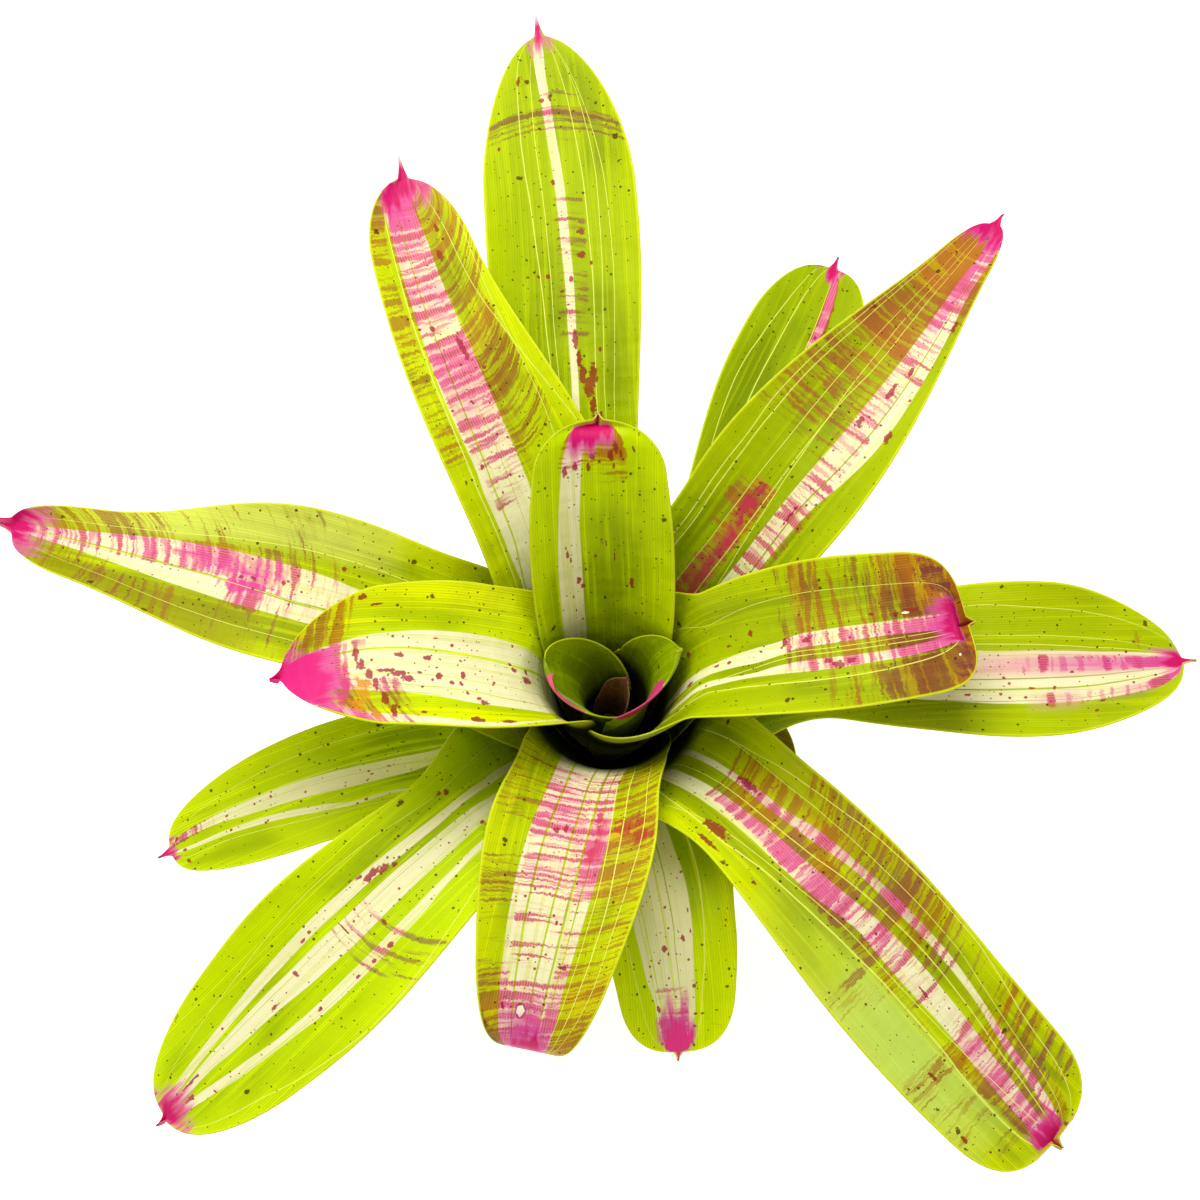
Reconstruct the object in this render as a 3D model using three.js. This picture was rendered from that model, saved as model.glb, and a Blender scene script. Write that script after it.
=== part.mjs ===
// Neoregelia bromeliad: a short woody stem with a spiral rosette of strap leaves.
// Millimetres, +Z up. The origin is the middle of the flat cut under the stem.
//
// Every leaf has a sheath, which clasps the stem and its neighbours and holds the
// tank, and a blade, which arches out of the throat to a spined tip. A sheath is a
// strip of a surface of revolution about the stem, so sheaths nest like cups. A blade
// is a channelled strip carried along its midrib.

import * as THREE from 'three';

// ---- stem ----
const CUT_RADIUS = 21;
const CUT_CHAMFER = 1;
const STUB_HEIGHT = 9;
const CROWN = { lowRadius: 26, lowHeight: 12, topRadius: 5, topHeight: 44 };
const DOME = { radius: 2.75, shoulderHeight: 45.7, height: 46.5 };
const STEM_SIDES = 32;
const SCAR_RINGS = 6;
const SCAR_DEPTH = 0.5;

// ---- what all leaves share: millimetres, degrees, and shares of a length ----
const SEAT_GAP = 0.3;
const FOOT_PITCH = 33;
const FOOT_HANDLE = { inner: 7, outer: 15 };
const SHEATH_HANDLE = 0.3;
const BLADE_REACH = [0.36, 0.36];
const WAIST = 0.8;
const BELLY = 0.5;
const SHOULDER = 0.92;
const BLUNTNESS = 2;
const FLARE_LENGTH = 60;
const OPENING_BEFORE = 10;
const OPENING_AFTER = 48;
const FOOT_THICKNESS = 1.3;
const BLADE_THICKNESS = 1.2;
const MARGIN_THINNING = 0.4;
const SPINE_HALF_WIDTH = 2.4;
const SPINE_END_HALF_WIDTH = 0.45;
const LEFT_WAVE_LAG = 0.4;
const LONGEST_NOSE = 0.7;
const LEAST_CURL = 0.01;
const NORMAL_STEP = 0.05;
const SHEATH_ROWS = [0, 0.08, 0.2, 0.36, 0.55, 0.77];
const BLADE_ROWS = 10;
const NOSE_ROWS = [1, 0.7, 0.44, 0.22, 0.06];
const SPINE_ROWS = [1, 0.5, 0];
const COLUMNS = 8;

// ---- the leaves, from the innermost outwards ----
// place      rank in the spiral, 0 innermost and 17 outermost
// heading    compass direction of the throat, degrees from +X towards +Y
// swing      how far the tip turns from the heading, degrees; a higher late puts the
//            turn nearer the tip, and sway bows the blade sideways on the way
// throat     radius and height where the sheath ends and the blade begins
// rise, fall pitch of the midrib at the throat and at the tip, degrees above level
// tip        radius and height of the end of the midrib before any hook
// reach      lengths of the two handles of the blade's arch, as shares of its chord
// width      full width of the blade at its belly, and belly where that lies, 0 to 1
// waist      half-width at the throat and shoulder half-width at the nose, as shares
// nose       length over which the end rounds off; blunt 2 is an ellipse, 1 a wedge
// clasp      half-angle of the sheath at its foot, and embrace at the throat, degrees
// flare      length over which the sheath's width turns into the blade's
// opening    length over which the round sheath opens into the channelled blade
// tuck       how far the right and left margins draw in at the throat, as shares
// lean       shift of the throat's two margins towards the left, as a share of embrace
// channel    half-angle of the blade's cross-section at throat and tip, degrees
// hook       angle by which the tip curls under over hookLength; lobe spares the sides
// wave       height of the waves along the margins, their number, and where they start
// spine      length of the spine at the tip
const LEAVES = [
  {
    name: 'leaf_00_heart', place: 0, heading: 40, swing: 0, throat: [8, 68], rise: 84,
    tip: [10.5, 82], fall: 70, width: 14, nose: 12, clasp: 120, embrace: 70,
    channel: [60, 40], spine: 3, flare: 16, opening: 30,
  },
  {
    name: 'leaf_01_cup_left', place: 1, heading: 200, swing: -2, throat: [11.5, 68],
    rise: 86, tip: [25.3, 121], fall: -150, reach: [0.6, 0.22], width: 46, waist: 1,
    shoulder: 1, nose: 54.5, blunt: 2.6, clasp: 150, embrace: 145, lean: -0.16,
    channel: [60, 60], spine: 1.5, flare: 80, opening: 300,
  },
  {
    name: 'leaf_02_cup_right', place: 2, heading: 6.6, swing: 4.4, throat: [18.4, 88.7],
    rise: 85, tip: [32.3, 115.8], fall: 39, reach: [0.45, 0.3], width: 46, waist: 1,
    shoulder: 1, nose: 40, blunt: 1.9, clasp: 130, embrace: 85.5, lean: -0.18,
    tuck: [0.08, 0.04], channel: [60, 60], spine: 1.5, flare: 90, opening: 300,
  },
  {
    name: 'leaf_03_north_inner', place: 3, heading: 94, swing: -1, sway: 1.2,
    throat: [27.4, 100], rise: 78, tip: [82.5, 194], fall: 44, width: 64, waist: 0.9,
    belly: 0.46, shoulder: 0.85, nose: 23, blunt: 2.3, clasp: 115, embrace: 73,
    channel: [40, 18], hook: 150, hookLength: 16, lobe: 0.5, spine: 4,
  },
  {
    name: 'leaf_04_west_inner', place: 4, heading: 188.9, swing: -2.6, sway: -1.2,
    throat: [29.9, 101], rise: 76, tip: [146, 136], fall: -28, reach: [0.3, 0.36],
    width: 71, waist: 1, belly: 0.33, shoulder: 0.8, nose: 44, blunt: 1.6, clasp: 70,
    embrace: 72, lean: -0.1, tuck: [0, 0.28], channel: [40, 14], hook: 60,
    hookLength: 16, lobe: 0.6, spine: 6, flare: 40,
  },
  {
    name: 'leaf_05_east_inner', place: 5, heading: -4.5, swing: 8.6, sway: -1.2,
    throat: [32, 100], rise: 74, tip: [158, 138], fall: -22, reach: [0.34, 0.36],
    width: 73, waist: 0.84, belly: 0.53, shoulder: 0.88, nose: 29, blunt: 2.95,
    clasp: 112, embrace: 98, lean: -0.1, tuck: [0.22, 0], channel: [40, 16], hook: 120,
    hookLength: 16, lobe: 0.8, spine: 5, flare: 28,
  },
  {
    name: 'leaf_06_northwest', place: 6, heading: 110.6, swing: 2.2, sway: 4.6,
    throat: [36, 95], rise: 68, tip: [238.5, 166], fall: 7, width: 69, waist: 0.95,
    belly: 0.2, shoulder: 0.6, nose: 35, blunt: 2.05, clasp: 110, embrace: 60,
    channel: [34, 14], wave: [1.5, 1.5, 0.5], spine: 11,
  },
  {
    name: 'leaf_07_south_inner', place: 7, heading: -101, swing: -0.7,
    throat: [39.5, 86], rise: 62, tip: [183, 84], fall: -46, width: 74, belly: 0.34,
    shoulder: 0.6, nose: 45.5, blunt: 2.3, clasp: 110, embrace: 50, channel: [34, 12],
    hook: 110, hookLength: 30, spine: 5, flare: 40,
  },
  {
    name: 'leaf_08_northeast', place: 8, heading: 42, swing: 7.6,
    throat: [42, 84], rise: 55, tip: [270, 138], fall: -14, width: 74, waist: 0.8,
    belly: 0.33, shoulder: 0.26, nose: 26, blunt: 2.2, clasp: 105, embrace: 55,
    channel: [32, 30], wave: [1.5, 1.3, 0], spine: 7,
  },
  {
    name: 'leaf_09_west_outer', place: 9, heading: 168.2, swing: -2.9, late: 4,
    throat: [44, 81], rise: 50, tip: [277.5, 107], fall: -16, width: 77, waist: 0.82,
    belly: 0.34, shoulder: 0.36, nose: 37.5, blunt: 2.35, clasp: 100, embrace: 52,
    channel: [30, 14], wave: [4, 2.2, 0.15], spine: 8,
  },
  {
    name: 'leaf_10_southeast', place: 10, heading: -45, swing: -1.1, sway: -1.9,
    throat: [47, 79], rise: 50, tip: [277.5, 60], fall: -18, width: 73, waist: 0.72,
    belly: 0.54, shoulder: 0.89, nose: 36, blunt: 2.8, clasp: 95, embrace: 43,
    channel: [30, 10], hook: 60, hookLength: 14, lobe: 0.9, wave: [2, 1.5, 0.6],
    spine: 5,
  },
  {
    name: 'leaf_11_north_outer', place: 11, heading: 102.6, swing: -6.4, sway: -2.9,
    throat: [49, 76], rise: 48, tip: [308, 142], fall: 3, width: 69.5, waist: 0.74,
    belly: 0.58, nose: 78, blunt: 1.85, clasp: 95, embrace: 48,
    channel: [28, 12], wave: [2, 1.4, 0.2], spine: 11,
  },
  {
    name: 'leaf_12_southwest', place: 12, heading: -130, swing: -5.8, sway: -0.4,
    throat: [51, 72], rise: 46, tip: [269.5, 54], fall: -21, width: 75, waist: 0.68,
    belly: 0.55, shoulder: 0.74, nose: 52.5, blunt: 2.3, clasp: 95, embrace: 50,
    channel: [28, 10], hook: 50, hookLength: 14, lobe: 0.9, wave: [2, 1.6, 0.3],
    spine: 5,
  },
  {
    name: 'leaf_13_east_outer', place: 13, heading: 1.4, swing: 1.1, sway: -0.6,
    throat: [53, 67], rise: 44, tip: [257, 90], fall: -14, width: 74, waist: 0.26,
    belly: 0.57, shoulder: 0.78, nose: 58, blunt: 2.2, clasp: 85, embrace: 36,
    channel: [26, 12], wave: [2.5, 2.4, 0.1], spine: 7,
  },
  {
    name: 'leaf_14_south_outer', place: 14, heading: -74.2, swing: -5.2, sway: 0.4,
    throat: [54, 60], rise: 42, tip: [161, 50], fall: -37, width: 58.5, waist: 0.9,
    belly: 0.46, shoulder: 0.78, nose: 24.5, blunt: 2.55, clasp: 90, embrace: 44,
    channel: [26, 14], spine: 4,
  },
  {
    name: 'leaf_15_northeast_back', place: 15, heading: 60, swing: 4.7,
    throat: [55, 53], rise: 40, tip: [249.5, 60], fall: -14, width: 55, waist: 0.38,
    belly: 0.62, shoulder: 0.88, nose: 48.5, blunt: 2.25, clasp: 80, embrace: 28,
    channel: [24, 26], spine: 8,
  },
  {
    name: 'leaf_16_west_low', place: 16, heading: -164, swing: 0.8, throat: [55, 45],
    rise: 38, tip: [208.5, 34], fall: -28, width: 54, waist: 0.9, belly: 0.42,
    shoulder: 0.78, nose: 62.5, blunt: 2.55, clasp: 80, embrace: 42, channel: [24, 10],
    spine: 7,
  },
  {
    name: 'leaf_17_old', place: 17, heading: -15, swing: -2, throat: [52, 33], rise: 28,
    tip: [88, 34], fall: -30, width: 40, nose: 30, clasp: 70, embrace: 40,
    channel: [30, 30], spine: 3,
  },
];
const LAST_PLACE = 17;

// ---- colours ----
const LEAF_GREEN = 0xa9c70f;
const OLD_LEAF_BROWN = 0x6d5322;
const STEM_BROWN = 0x6b5334;

const radians = THREE.MathUtils.degToRad;
const mix = THREE.MathUtils.lerp;
const limit = THREE.MathUtils.clamp;
const smooth = (value) => THREE.MathUtils.smoothstep(value, 0, 1);

// A stretch of midrib in the plane of radius and height, between two points and pitches.
function arch(start, startPitch, startHandle, end, endPitch, endHandle) {
  const a = radians(startPitch);
  const b = radians(endPitch);
  return new THREE.CubicBezierCurve(
    start,
    new THREE.Vector2(start.x + startHandle * Math.cos(a), start.y + startHandle * Math.sin(a)),
    new THREE.Vector2(end.x - endHandle * Math.cos(b), end.y - endHandle * Math.sin(b)),
    end,
  );
}

// The midrib of a leaf: its sheath and blade curves and their lengths. The foot of the
// sheath stands just clear of the crown's cone, lower and wider for an outer leaf.
function midrib(leaf) {
  const down = leaf.place / LAST_PLACE;
  const seat = radians(FOOT_PITCH);
  const foot = new THREE.Vector2(
    mix(CROWN.topRadius, CROWN.lowRadius, down) + SEAT_GAP * Math.cos(seat),
    mix(CROWN.topHeight, CROWN.lowHeight, down) + SEAT_GAP * Math.sin(seat),
  );
  const throat = new THREE.Vector2(...leaf.throat);
  const tip = new THREE.Vector2(...leaf.tip);
  const footHandle = mix(FOOT_HANDLE.inner, FOOT_HANDLE.outer, down);
  const throatHandle = SHEATH_HANDLE * foot.distanceTo(throat);
  const [out, back] = (leaf.reach ?? BLADE_REACH).map((share) => share * throat.distanceTo(tip));
  const sheath = arch(foot, FOOT_PITCH, footHandle, throat, leaf.rise, throatHandle);
  const blade = arch(throat, leaf.rise, out, tip, leaf.fall, back);
  return { sheath, blade, sheathLength: sheath.getLength(), bladeLength: blade.getLength() };
}

// Half the width of the blade at a distance past the throat.
function bladeHalfWidth(leaf, rib, distance) {
  const { width, nose, spine } = leaf;
  const { waist = WAIST, belly = BELLY, shoulder = SHOULDER, blunt = BLUNTNESS } = leaf;
  const share = distance / rib.bladeLength;
  const before = mix(waist, 1, smooth(share / belly));
  const after = mix(1, shoulder, smooth((share - belly) / (1 - belly)));
  const left = rib.bladeLength - distance;
  const inNose = limit((left - spine) / nose, 0, 1);
  const rounding = (1 - (1 - inNose) ** blunt) ** (1 / blunt);
  const blade = 0.5 * width * (share < belly ? before : after) * rounding;
  const throatHalf = radians(leaf.embrace) * leaf.throat[0] * rounding;
  const opened = mix(throatHalf, blade, smooth(distance / (leaf.flare ?? FLARE_LENGTH)));
  const inSpine = limit(left / spine, 0, 1);
  return Math.max(opened, mix(SPINE_END_HALF_WIDTH, SPINE_HALF_WIDTH, inSpine ** 2));
}

// The midrib's place and directions at a distance past the throat, in space.
function frameAt(leaf, rib, distance) {
  const inSheath = distance < 0;
  const curve = inSheath ? rib.sheath : rib.blade;
  const share = limit(inSheath ? 1 + distance / rib.sheathLength : distance / rib.bladeLength, 0, 1);
  const flat = curve.getPointAt(share);
  const slope = curve.getTangentAt(share);
  const along = inSheath ? 0 : share;
  const { swing, sway = 0, late = 1 } = leaf;
  const swung = swing * along ** late + sway * Math.sin(Math.PI * along);
  const azimuth = radians(leaf.heading + swung);
  const turning = inSheath
    ? 0
    : swing * late * along ** (late - 1) + sway * Math.PI * Math.cos(Math.PI * along);
  const outward = new THREE.Vector3(Math.cos(azimuth), Math.sin(azimuth), 0);
  const sideways = new THREE.Vector3(-Math.sin(azimuth), Math.cos(azimuth), 0);
  const tangent = outward.clone().multiplyScalar(slope.x);
  tangent.addScaledVector(sideways, flat.x * radians(turning) / rib.bladeLength);
  tangent.z = slope.y;
  tangent.normalize();
  const side = sideways.addScaledVector(tangent, -sideways.dot(tangent)).normalize();
  const upper = tangent.clone().cross(side);
  const place = outward.multiplyScalar(flat.x);
  place.z = flat.y;
  return { flat, azimuth, along, place, tangent, side, upper };
}

// A point of the leaf's middle surface: distance past the throat (negative in the
// sheath), and across from -1 at the right margin to 1 at the left.
function leafPoint(leaf, rib, distance, across) {
  const { hook = 0, hookLength = 0, lobe = 0, lean = 0 } = leaf;
  const past = hook > 0 ? Math.max(distance - (rib.bladeLength - hookLength), 0) : 0;
  const at = frameAt(leaf, rib, distance - past);

  const sheathShare = limit(1 + distance / rib.sheathLength, 0, 1);
  const halfAngle = distance < 0
    ? radians(mix(leaf.clasp, leaf.embrace, sheathShare))
    : bladeHalfWidth(leaf, rib, distance) / at.flat.x;
  const leaning = sheathShare ** 2 * (1 - smooth(distance / (leaf.flare ?? FLARE_LENGTH)));
  const aside = across * (1 + Math.sign(across) * lean * leaning);

  // In the sheath, the point lies on a surface of revolution about the stem.
  const [tuckRight, tuckLeft] = leaf.tuck ?? [0, 0];
  const tuck = (across < 0 ? tuckRight : tuckLeft) * across ** 4 * sheathShare ** 2;
  const turned = at.azimuth + aside * halfAngle;
  const radius = at.flat.x * (1 - tuck);
  const revolved = new THREE.Vector3(
    radius * Math.cos(turned),
    radius * Math.sin(turned),
    at.flat.y,
  );

  // In the blade, it is carried along the midrib in a shallow channel with waved margins.
  const halfWidth = halfAngle * at.flat.x;
  const bow = radians(mix(leaf.channel[0], leaf.channel[1], at.along));
  const sideStep = halfWidth * Math.sin(aside * bow) / bow;
  const channelLift = halfWidth * (1 - Math.cos(aside * bow)) / bow;
  const [waveHeight, waves, waveStart] = leaf.wave ?? [0, 1, 0];
  const turns = waves * at.along + waveStart + (across < 0 ? 0 : LEFT_WAVE_LAG);
  const waveLift = waveHeight * Math.abs(across) ** 3 * Math.sin(2 * Math.PI * turns);
  const carried = at.place.clone()
    .addScaledVector(at.side, sideStep)
    .addScaledVector(at.upper, channelLift + waveLift);
  if (past > 0) {
    const curl = Math.max(radians(hook) * (1 - lobe * across ** 2), LEAST_CURL) / hookLength;
    carried.addScaledVector(at.tangent, Math.sin(curl * past) / curl);
    carried.addScaledVector(at.upper, -(1 - Math.cos(curl * past)) / curl);
  }

  const openingLength = OPENING_BEFORE + (leaf.opening ?? OPENING_AFTER);
  return revolved.lerp(carried, smooth((distance + OPENING_BEFORE) / openingLength));
}

// The distances past the throat at which the leaf has a row of points.
function rowDistances(leaf, rib) {
  const spineStart = rib.bladeLength - leaf.spine;
  const noseLength = Math.min(leaf.nose, LONGEST_NOSE * spineStart);
  const noseStart = spineStart - noseLength;
  return [
    ...SHEATH_ROWS.map((share) => (share - 1) * rib.sheathLength),
    ...Array.from({ length: BLADE_ROWS }, (_, row) => noseStart * row / BLADE_ROWS),
    ...NOSE_ROWS.map((share) => spineStart - noseLength * share),
    ...SPINE_ROWS.map((share) => rib.bladeLength - leaf.spine * share),
  ];
}

// Thickness of the leaf: a little more at the foot, less at the margins.
function thicknessAt(rib, distance, across) {
  const foot = smooth(1 + distance / rib.sheathLength);
  return mix(FOOT_THICKNESS, BLADE_THICKNESS, foot) * (1 - MARGIN_THINNING * across ** 2);
}

// A closed leaf: an upper and a lower sheet split into the same triangles, and a rim.
function leafGeometry(leaf) {
  const rib = midrib(leaf);
  const distances = rowDistances(leaf, rib);
  const rows = distances.length - 1;
  const sheet = new THREE.PlaneGeometry(1, 1, COLUMNS, rows);
  const count = sheet.attributes.position.count;
  const corner = (row, column) => row * (COLUMNS + 1) + column;
  const points = new Float32Array(6 * count);
  const normal = new THREE.Vector3();
  for (let row = 0; row <= rows; row += 1) {
    for (let column = 0; column <= COLUMNS; column += 1) {
      const across = 2 * column / COLUMNS - 1;
      const distance = distances[row];
      const middle = leafPoint(leaf, rib, distance, across);
      const nearer = Math.max(distance - NORMAL_STEP, -rib.sheathLength);
      const farther = Math.min(distance + NORMAL_STEP, rib.bladeLength);
      const ahead = leafPoint(leaf, rib, farther, across)
        .sub(leafPoint(leaf, rib, nearer, across));
      const beside = leafPoint(leaf, rib, distance, across + NORMAL_STEP)
        .sub(leafPoint(leaf, rib, distance, across - NORMAL_STEP));
      normal.crossVectors(ahead, beside).normalize();
      const half = 0.5 * thicknessAt(rib, distance, across);
      const index = corner(row, column);
      middle.clone().addScaledVector(normal, half).toArray(points, 3 * index);
      middle.clone().addScaledVector(normal, -half).toArray(points, 3 * (count + index));
    }
  }

  const upper = Array.from(sheet.index.array);
  const triangles = [];
  for (let i = 0; i < upper.length; i += 3) {
    const [a, b, c] = upper.slice(i, i + 3);
    triangles.push(a, b, c, c + count, b + count, a + count);
  }
  const rim = [];
  for (let column = 0; column < COLUMNS; column += 1) rim.push(corner(0, column));
  for (let row = 0; row < rows; row += 1) rim.push(corner(row, COLUMNS));
  for (let column = COLUMNS; column > 0; column -= 1) rim.push(corner(rows, column));
  for (let row = rows; row > 0; row -= 1) rim.push(corner(row, 0));
  rim.forEach((a, i) => {
    const b = rim[(i + 1) % rim.length];
    triangles.push(a, b, b + count, a, b + count, a + count);
  });

  const geometry = new THREE.BufferGeometry();
  geometry.setAttribute('position', new THREE.BufferAttribute(points, 3));
  geometry.setIndex(triangles);
  geometry.computeVertexNormals();
  return geometry;
}

// The stem: a flat cut, a short stub, and a crown cone ringed by old leaf scars.
function stemGeometry() {
  const profile = [
    new THREE.Vector2(0, 0),
    new THREE.Vector2(CUT_RADIUS, 0),
    new THREE.Vector2(CUT_RADIUS + CUT_CHAMFER, CUT_CHAMFER),
    new THREE.Vector2(CUT_RADIUS, STUB_HEIGHT),
    new THREE.Vector2(CROWN.lowRadius, CROWN.lowHeight),
  ];
  for (let ring = 1; ring < SCAR_RINGS; ring += 1) {
    const share = ring / SCAR_RINGS;
    const radius = mix(CROWN.lowRadius, CROWN.topRadius, share);
    const height = mix(CROWN.lowHeight, CROWN.topHeight, share);
    profile.push(new THREE.Vector2(radius - SCAR_DEPTH, height));
  }
  profile.push(new THREE.Vector2(CROWN.topRadius, CROWN.topHeight));
  profile.push(new THREE.Vector2(DOME.radius, DOME.shoulderHeight));
  profile.push(new THREE.Vector2(0, DOME.height));
  const geometry = new THREE.LatheGeometry(profile, STEM_SIDES);
  geometry.rotateX(Math.PI / 2);
  return geometry;
}

const plant = new THREE.Group();

const stem = new THREE.Mesh(
  stemGeometry(),
  new THREE.MeshStandardMaterial({ color: STEM_BROWN, roughness: 0.85, metalness: 0 }),
);
stem.name = 'stem';
plant.add(stem);

for (const leaf of LEAVES) {
  const color = leaf.place === LAST_PLACE ? OLD_LEAF_BROWN : LEAF_GREEN;
  const mesh = new THREE.Mesh(
    leafGeometry(leaf),
    new THREE.MeshStandardMaterial({ color, roughness: 0.35, metalness: 0 }),
  );
  mesh.name = leaf.name;
  plant.add(mesh);
}

export default plant;
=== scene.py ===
import math

import bmesh
import bpy
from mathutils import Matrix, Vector


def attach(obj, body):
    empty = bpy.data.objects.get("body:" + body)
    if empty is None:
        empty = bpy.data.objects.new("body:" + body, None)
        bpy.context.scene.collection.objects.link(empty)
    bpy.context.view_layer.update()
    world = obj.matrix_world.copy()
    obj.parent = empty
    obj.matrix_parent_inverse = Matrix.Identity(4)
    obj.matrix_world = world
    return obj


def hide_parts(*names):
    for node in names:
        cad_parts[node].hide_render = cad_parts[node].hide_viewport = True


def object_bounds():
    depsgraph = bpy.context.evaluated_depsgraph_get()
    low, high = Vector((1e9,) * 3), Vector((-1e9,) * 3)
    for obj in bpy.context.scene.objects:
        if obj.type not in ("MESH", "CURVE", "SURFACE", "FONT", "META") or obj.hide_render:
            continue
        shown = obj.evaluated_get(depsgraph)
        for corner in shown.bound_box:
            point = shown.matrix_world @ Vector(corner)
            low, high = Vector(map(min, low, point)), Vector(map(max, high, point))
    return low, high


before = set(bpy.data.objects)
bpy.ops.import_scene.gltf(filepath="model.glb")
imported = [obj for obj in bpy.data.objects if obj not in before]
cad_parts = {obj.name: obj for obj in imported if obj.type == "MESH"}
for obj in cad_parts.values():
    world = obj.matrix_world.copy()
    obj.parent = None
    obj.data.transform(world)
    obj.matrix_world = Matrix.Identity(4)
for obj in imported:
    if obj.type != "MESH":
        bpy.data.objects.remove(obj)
cad_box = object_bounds()


# ---- Stem ----
# A short woody stem, cut flat underneath, with the ring scars of shed leaves up its
# crown. All the leaves grow from it, and their sheaths hide it but for the stub.

MM = 0.001
# Points of its outline: a radius and a height, in millimetres.
CROWN_FOOT = (26.0, 12.0)
CROWN_TOP = (5.0, 44.0)
STUB = [(0, 0), (20.6, 0), (21, 0.1), (21.9, 0.8), (22, 1.2), (21.5, 5), (21.1, 8.4), (21.3, 9.2)]
BUD = [(4.2, 44.6), (2.75, 45.7), (1.3, 46.3), (0, 46.5)]
SCARS = 12
SCAR_STEPS = ((0.1, 0.0), (0.55, 0.45), (0.9, 0.5))  # share of a ring's height, and dip
STEM_SIDES = 72
FIBRES_ROUND = 22.0
BARK, PALE_BARK, SCAR_BARK = "3d2a17", "86683f", "a58a5c"
CUT_WOOD, CUT_RINGS = "b79a68", "6d4f2c"


def between(a, b, share):
    return a + (b - a) * share


def dye(code):
    """A colour from its six-figure code, as Blender's nodes take it."""
    parts = [int(code[i:i + 2], 16) / 255 for i in (0, 2, 4)]
    linear = [c / 12.92 if c < 0.04045 else ((c + 0.055) / 1.055) ** 2.4 for c in parts]
    return (*linear, 1.0)


class Finish:
    """A material that is built up in washes over a ground colour."""

    def __init__(self, name):
        self.material = bpy.data.materials.new(name)
        self.material.use_nodes = True
        self.tree = self.material.node_tree
        self.shader = self.tree.nodes["Principled BSDF"]

    def feed(self, socket, value):
        if isinstance(value, bpy.types.NodeSocket):
            self.tree.links.new(value, socket)
        else:
            socket.default_value = value

    def add(self, kind, inputs, **settings):
        node = self.tree.nodes.new("ShaderNode" + kind)
        for key, value in settings.items():
            setattr(node, key, value)
        for key, value in inputs.items():
            self.feed(node.inputs[key], value)
        return node

    def parts(self, vector):
        return self.add("SeparateXYZ", {0: vector}).outputs

    def calc(self, operation, *values):
        return self.add("Math", dict(enumerate(values)), operation=operation).outputs[0]

    def plus(self, a, b):
        return self.calc("ADD", a, b)

    def minus(self, a, b):
        return self.calc("SUBTRACT", a, b)

    def times(self, a, b):
        return self.calc("MULTIPLY", a, b)

    def scaled(self, value, factor, start):
        return self.calc("MULTIPLY_ADD", value, factor, start)

    def either(self, masks, operation="MAXIMUM"):
        whole = masks[0]
        for mask in masks[1:]:
            whole = self.calc(operation, whole, mask)
        return whole

    def ramp(self, value, low, high, start=0.0, end=1.0):
        """From start where the value is low to end where it is high, in a smooth step."""
        inputs = {0: value, 1: low, 2: high, 3: start, 4: end}
        return self.add("MapRange", inputs, interpolation_type="SMOOTHSTEP").outputs[0]

    def grain(self, x, y, across, along, detail=1.0, seed=0.0):
        """Noise with so many features to a unit across and along."""
        spot = {0: self.times(x, across), 1: self.times(y, along), 2: seed}
        place = self.add("CombineXYZ", spot).outputs[0]
        return self.add("TexNoise", {"Vector": place, "Scale": 1.0, "Detail": detail}).outputs[0]

    def wash(self, under, over, mask):
        """One colour laid over another where the mask is 1."""
        return self.add("Mix", {0: mask, 6: under, 7: over}, data_type="RGBA").outputs[2]

    def relief(self, height, distance, strength=1.0):
        bump = self.add("Bump", {"Height": height, "Distance": distance, "Strength": strength})
        self.feed(self.shader.inputs["Normal"], bump.outputs[0])

    def set(self, **sockets):
        for name, value in sockets.items():
            self.feed(self.shader.inputs[name.replace("_", " ")], value)


def stand_piece(name, mesh, material, node):
    """Puts a finished shape in the scene in place of its CAD node."""
    data = bpy.data.meshes.new(name)
    mesh.to_mesh(data)
    mesh.free()
    data.polygons.foreach_set("use_smooth", [True] * len(data.polygons))
    data.materials.append(material)
    piece = bpy.data.objects.new(name, data)
    bpy.context.scene.collection.objects.link(piece)
    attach(piece, "root")
    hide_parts(node)


def turn_stem():
    """The stem's outline, from the cut face up past the scars, spun about its axis."""
    outline = list(STUB)
    for ring in range(SCARS):
        for step, dip in SCAR_STEPS:
            share = (ring + step) / SCARS
            radius = between(CROWN_FOOT[0], CROWN_TOP[0], share) - dip
            outline.append((radius, between(CROWN_FOOT[1], CROWN_TOP[1], share)))
    outline += BUD
    mesh = bmesh.new()
    points = [mesh.verts.new((radius * MM, 0, height * MM)) for radius, height in outline]
    edges = [mesh.edges.new(pair) for pair in zip(points, points[1:])]
    bmesh.ops.spin(
        mesh, geom=points + edges, cent=(0, 0, 0), axis=(0, 0, 1), angle=math.tau,
        steps=STEM_SIDES, use_merge=True, use_duplicate=False,
    )
    bmesh.ops.remove_doubles(mesh, verts=mesh.verts, dist=0.01 * MM)
    bmesh.ops.recalc_face_normals(mesh, faces=mesh.faces)
    return mesh


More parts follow.
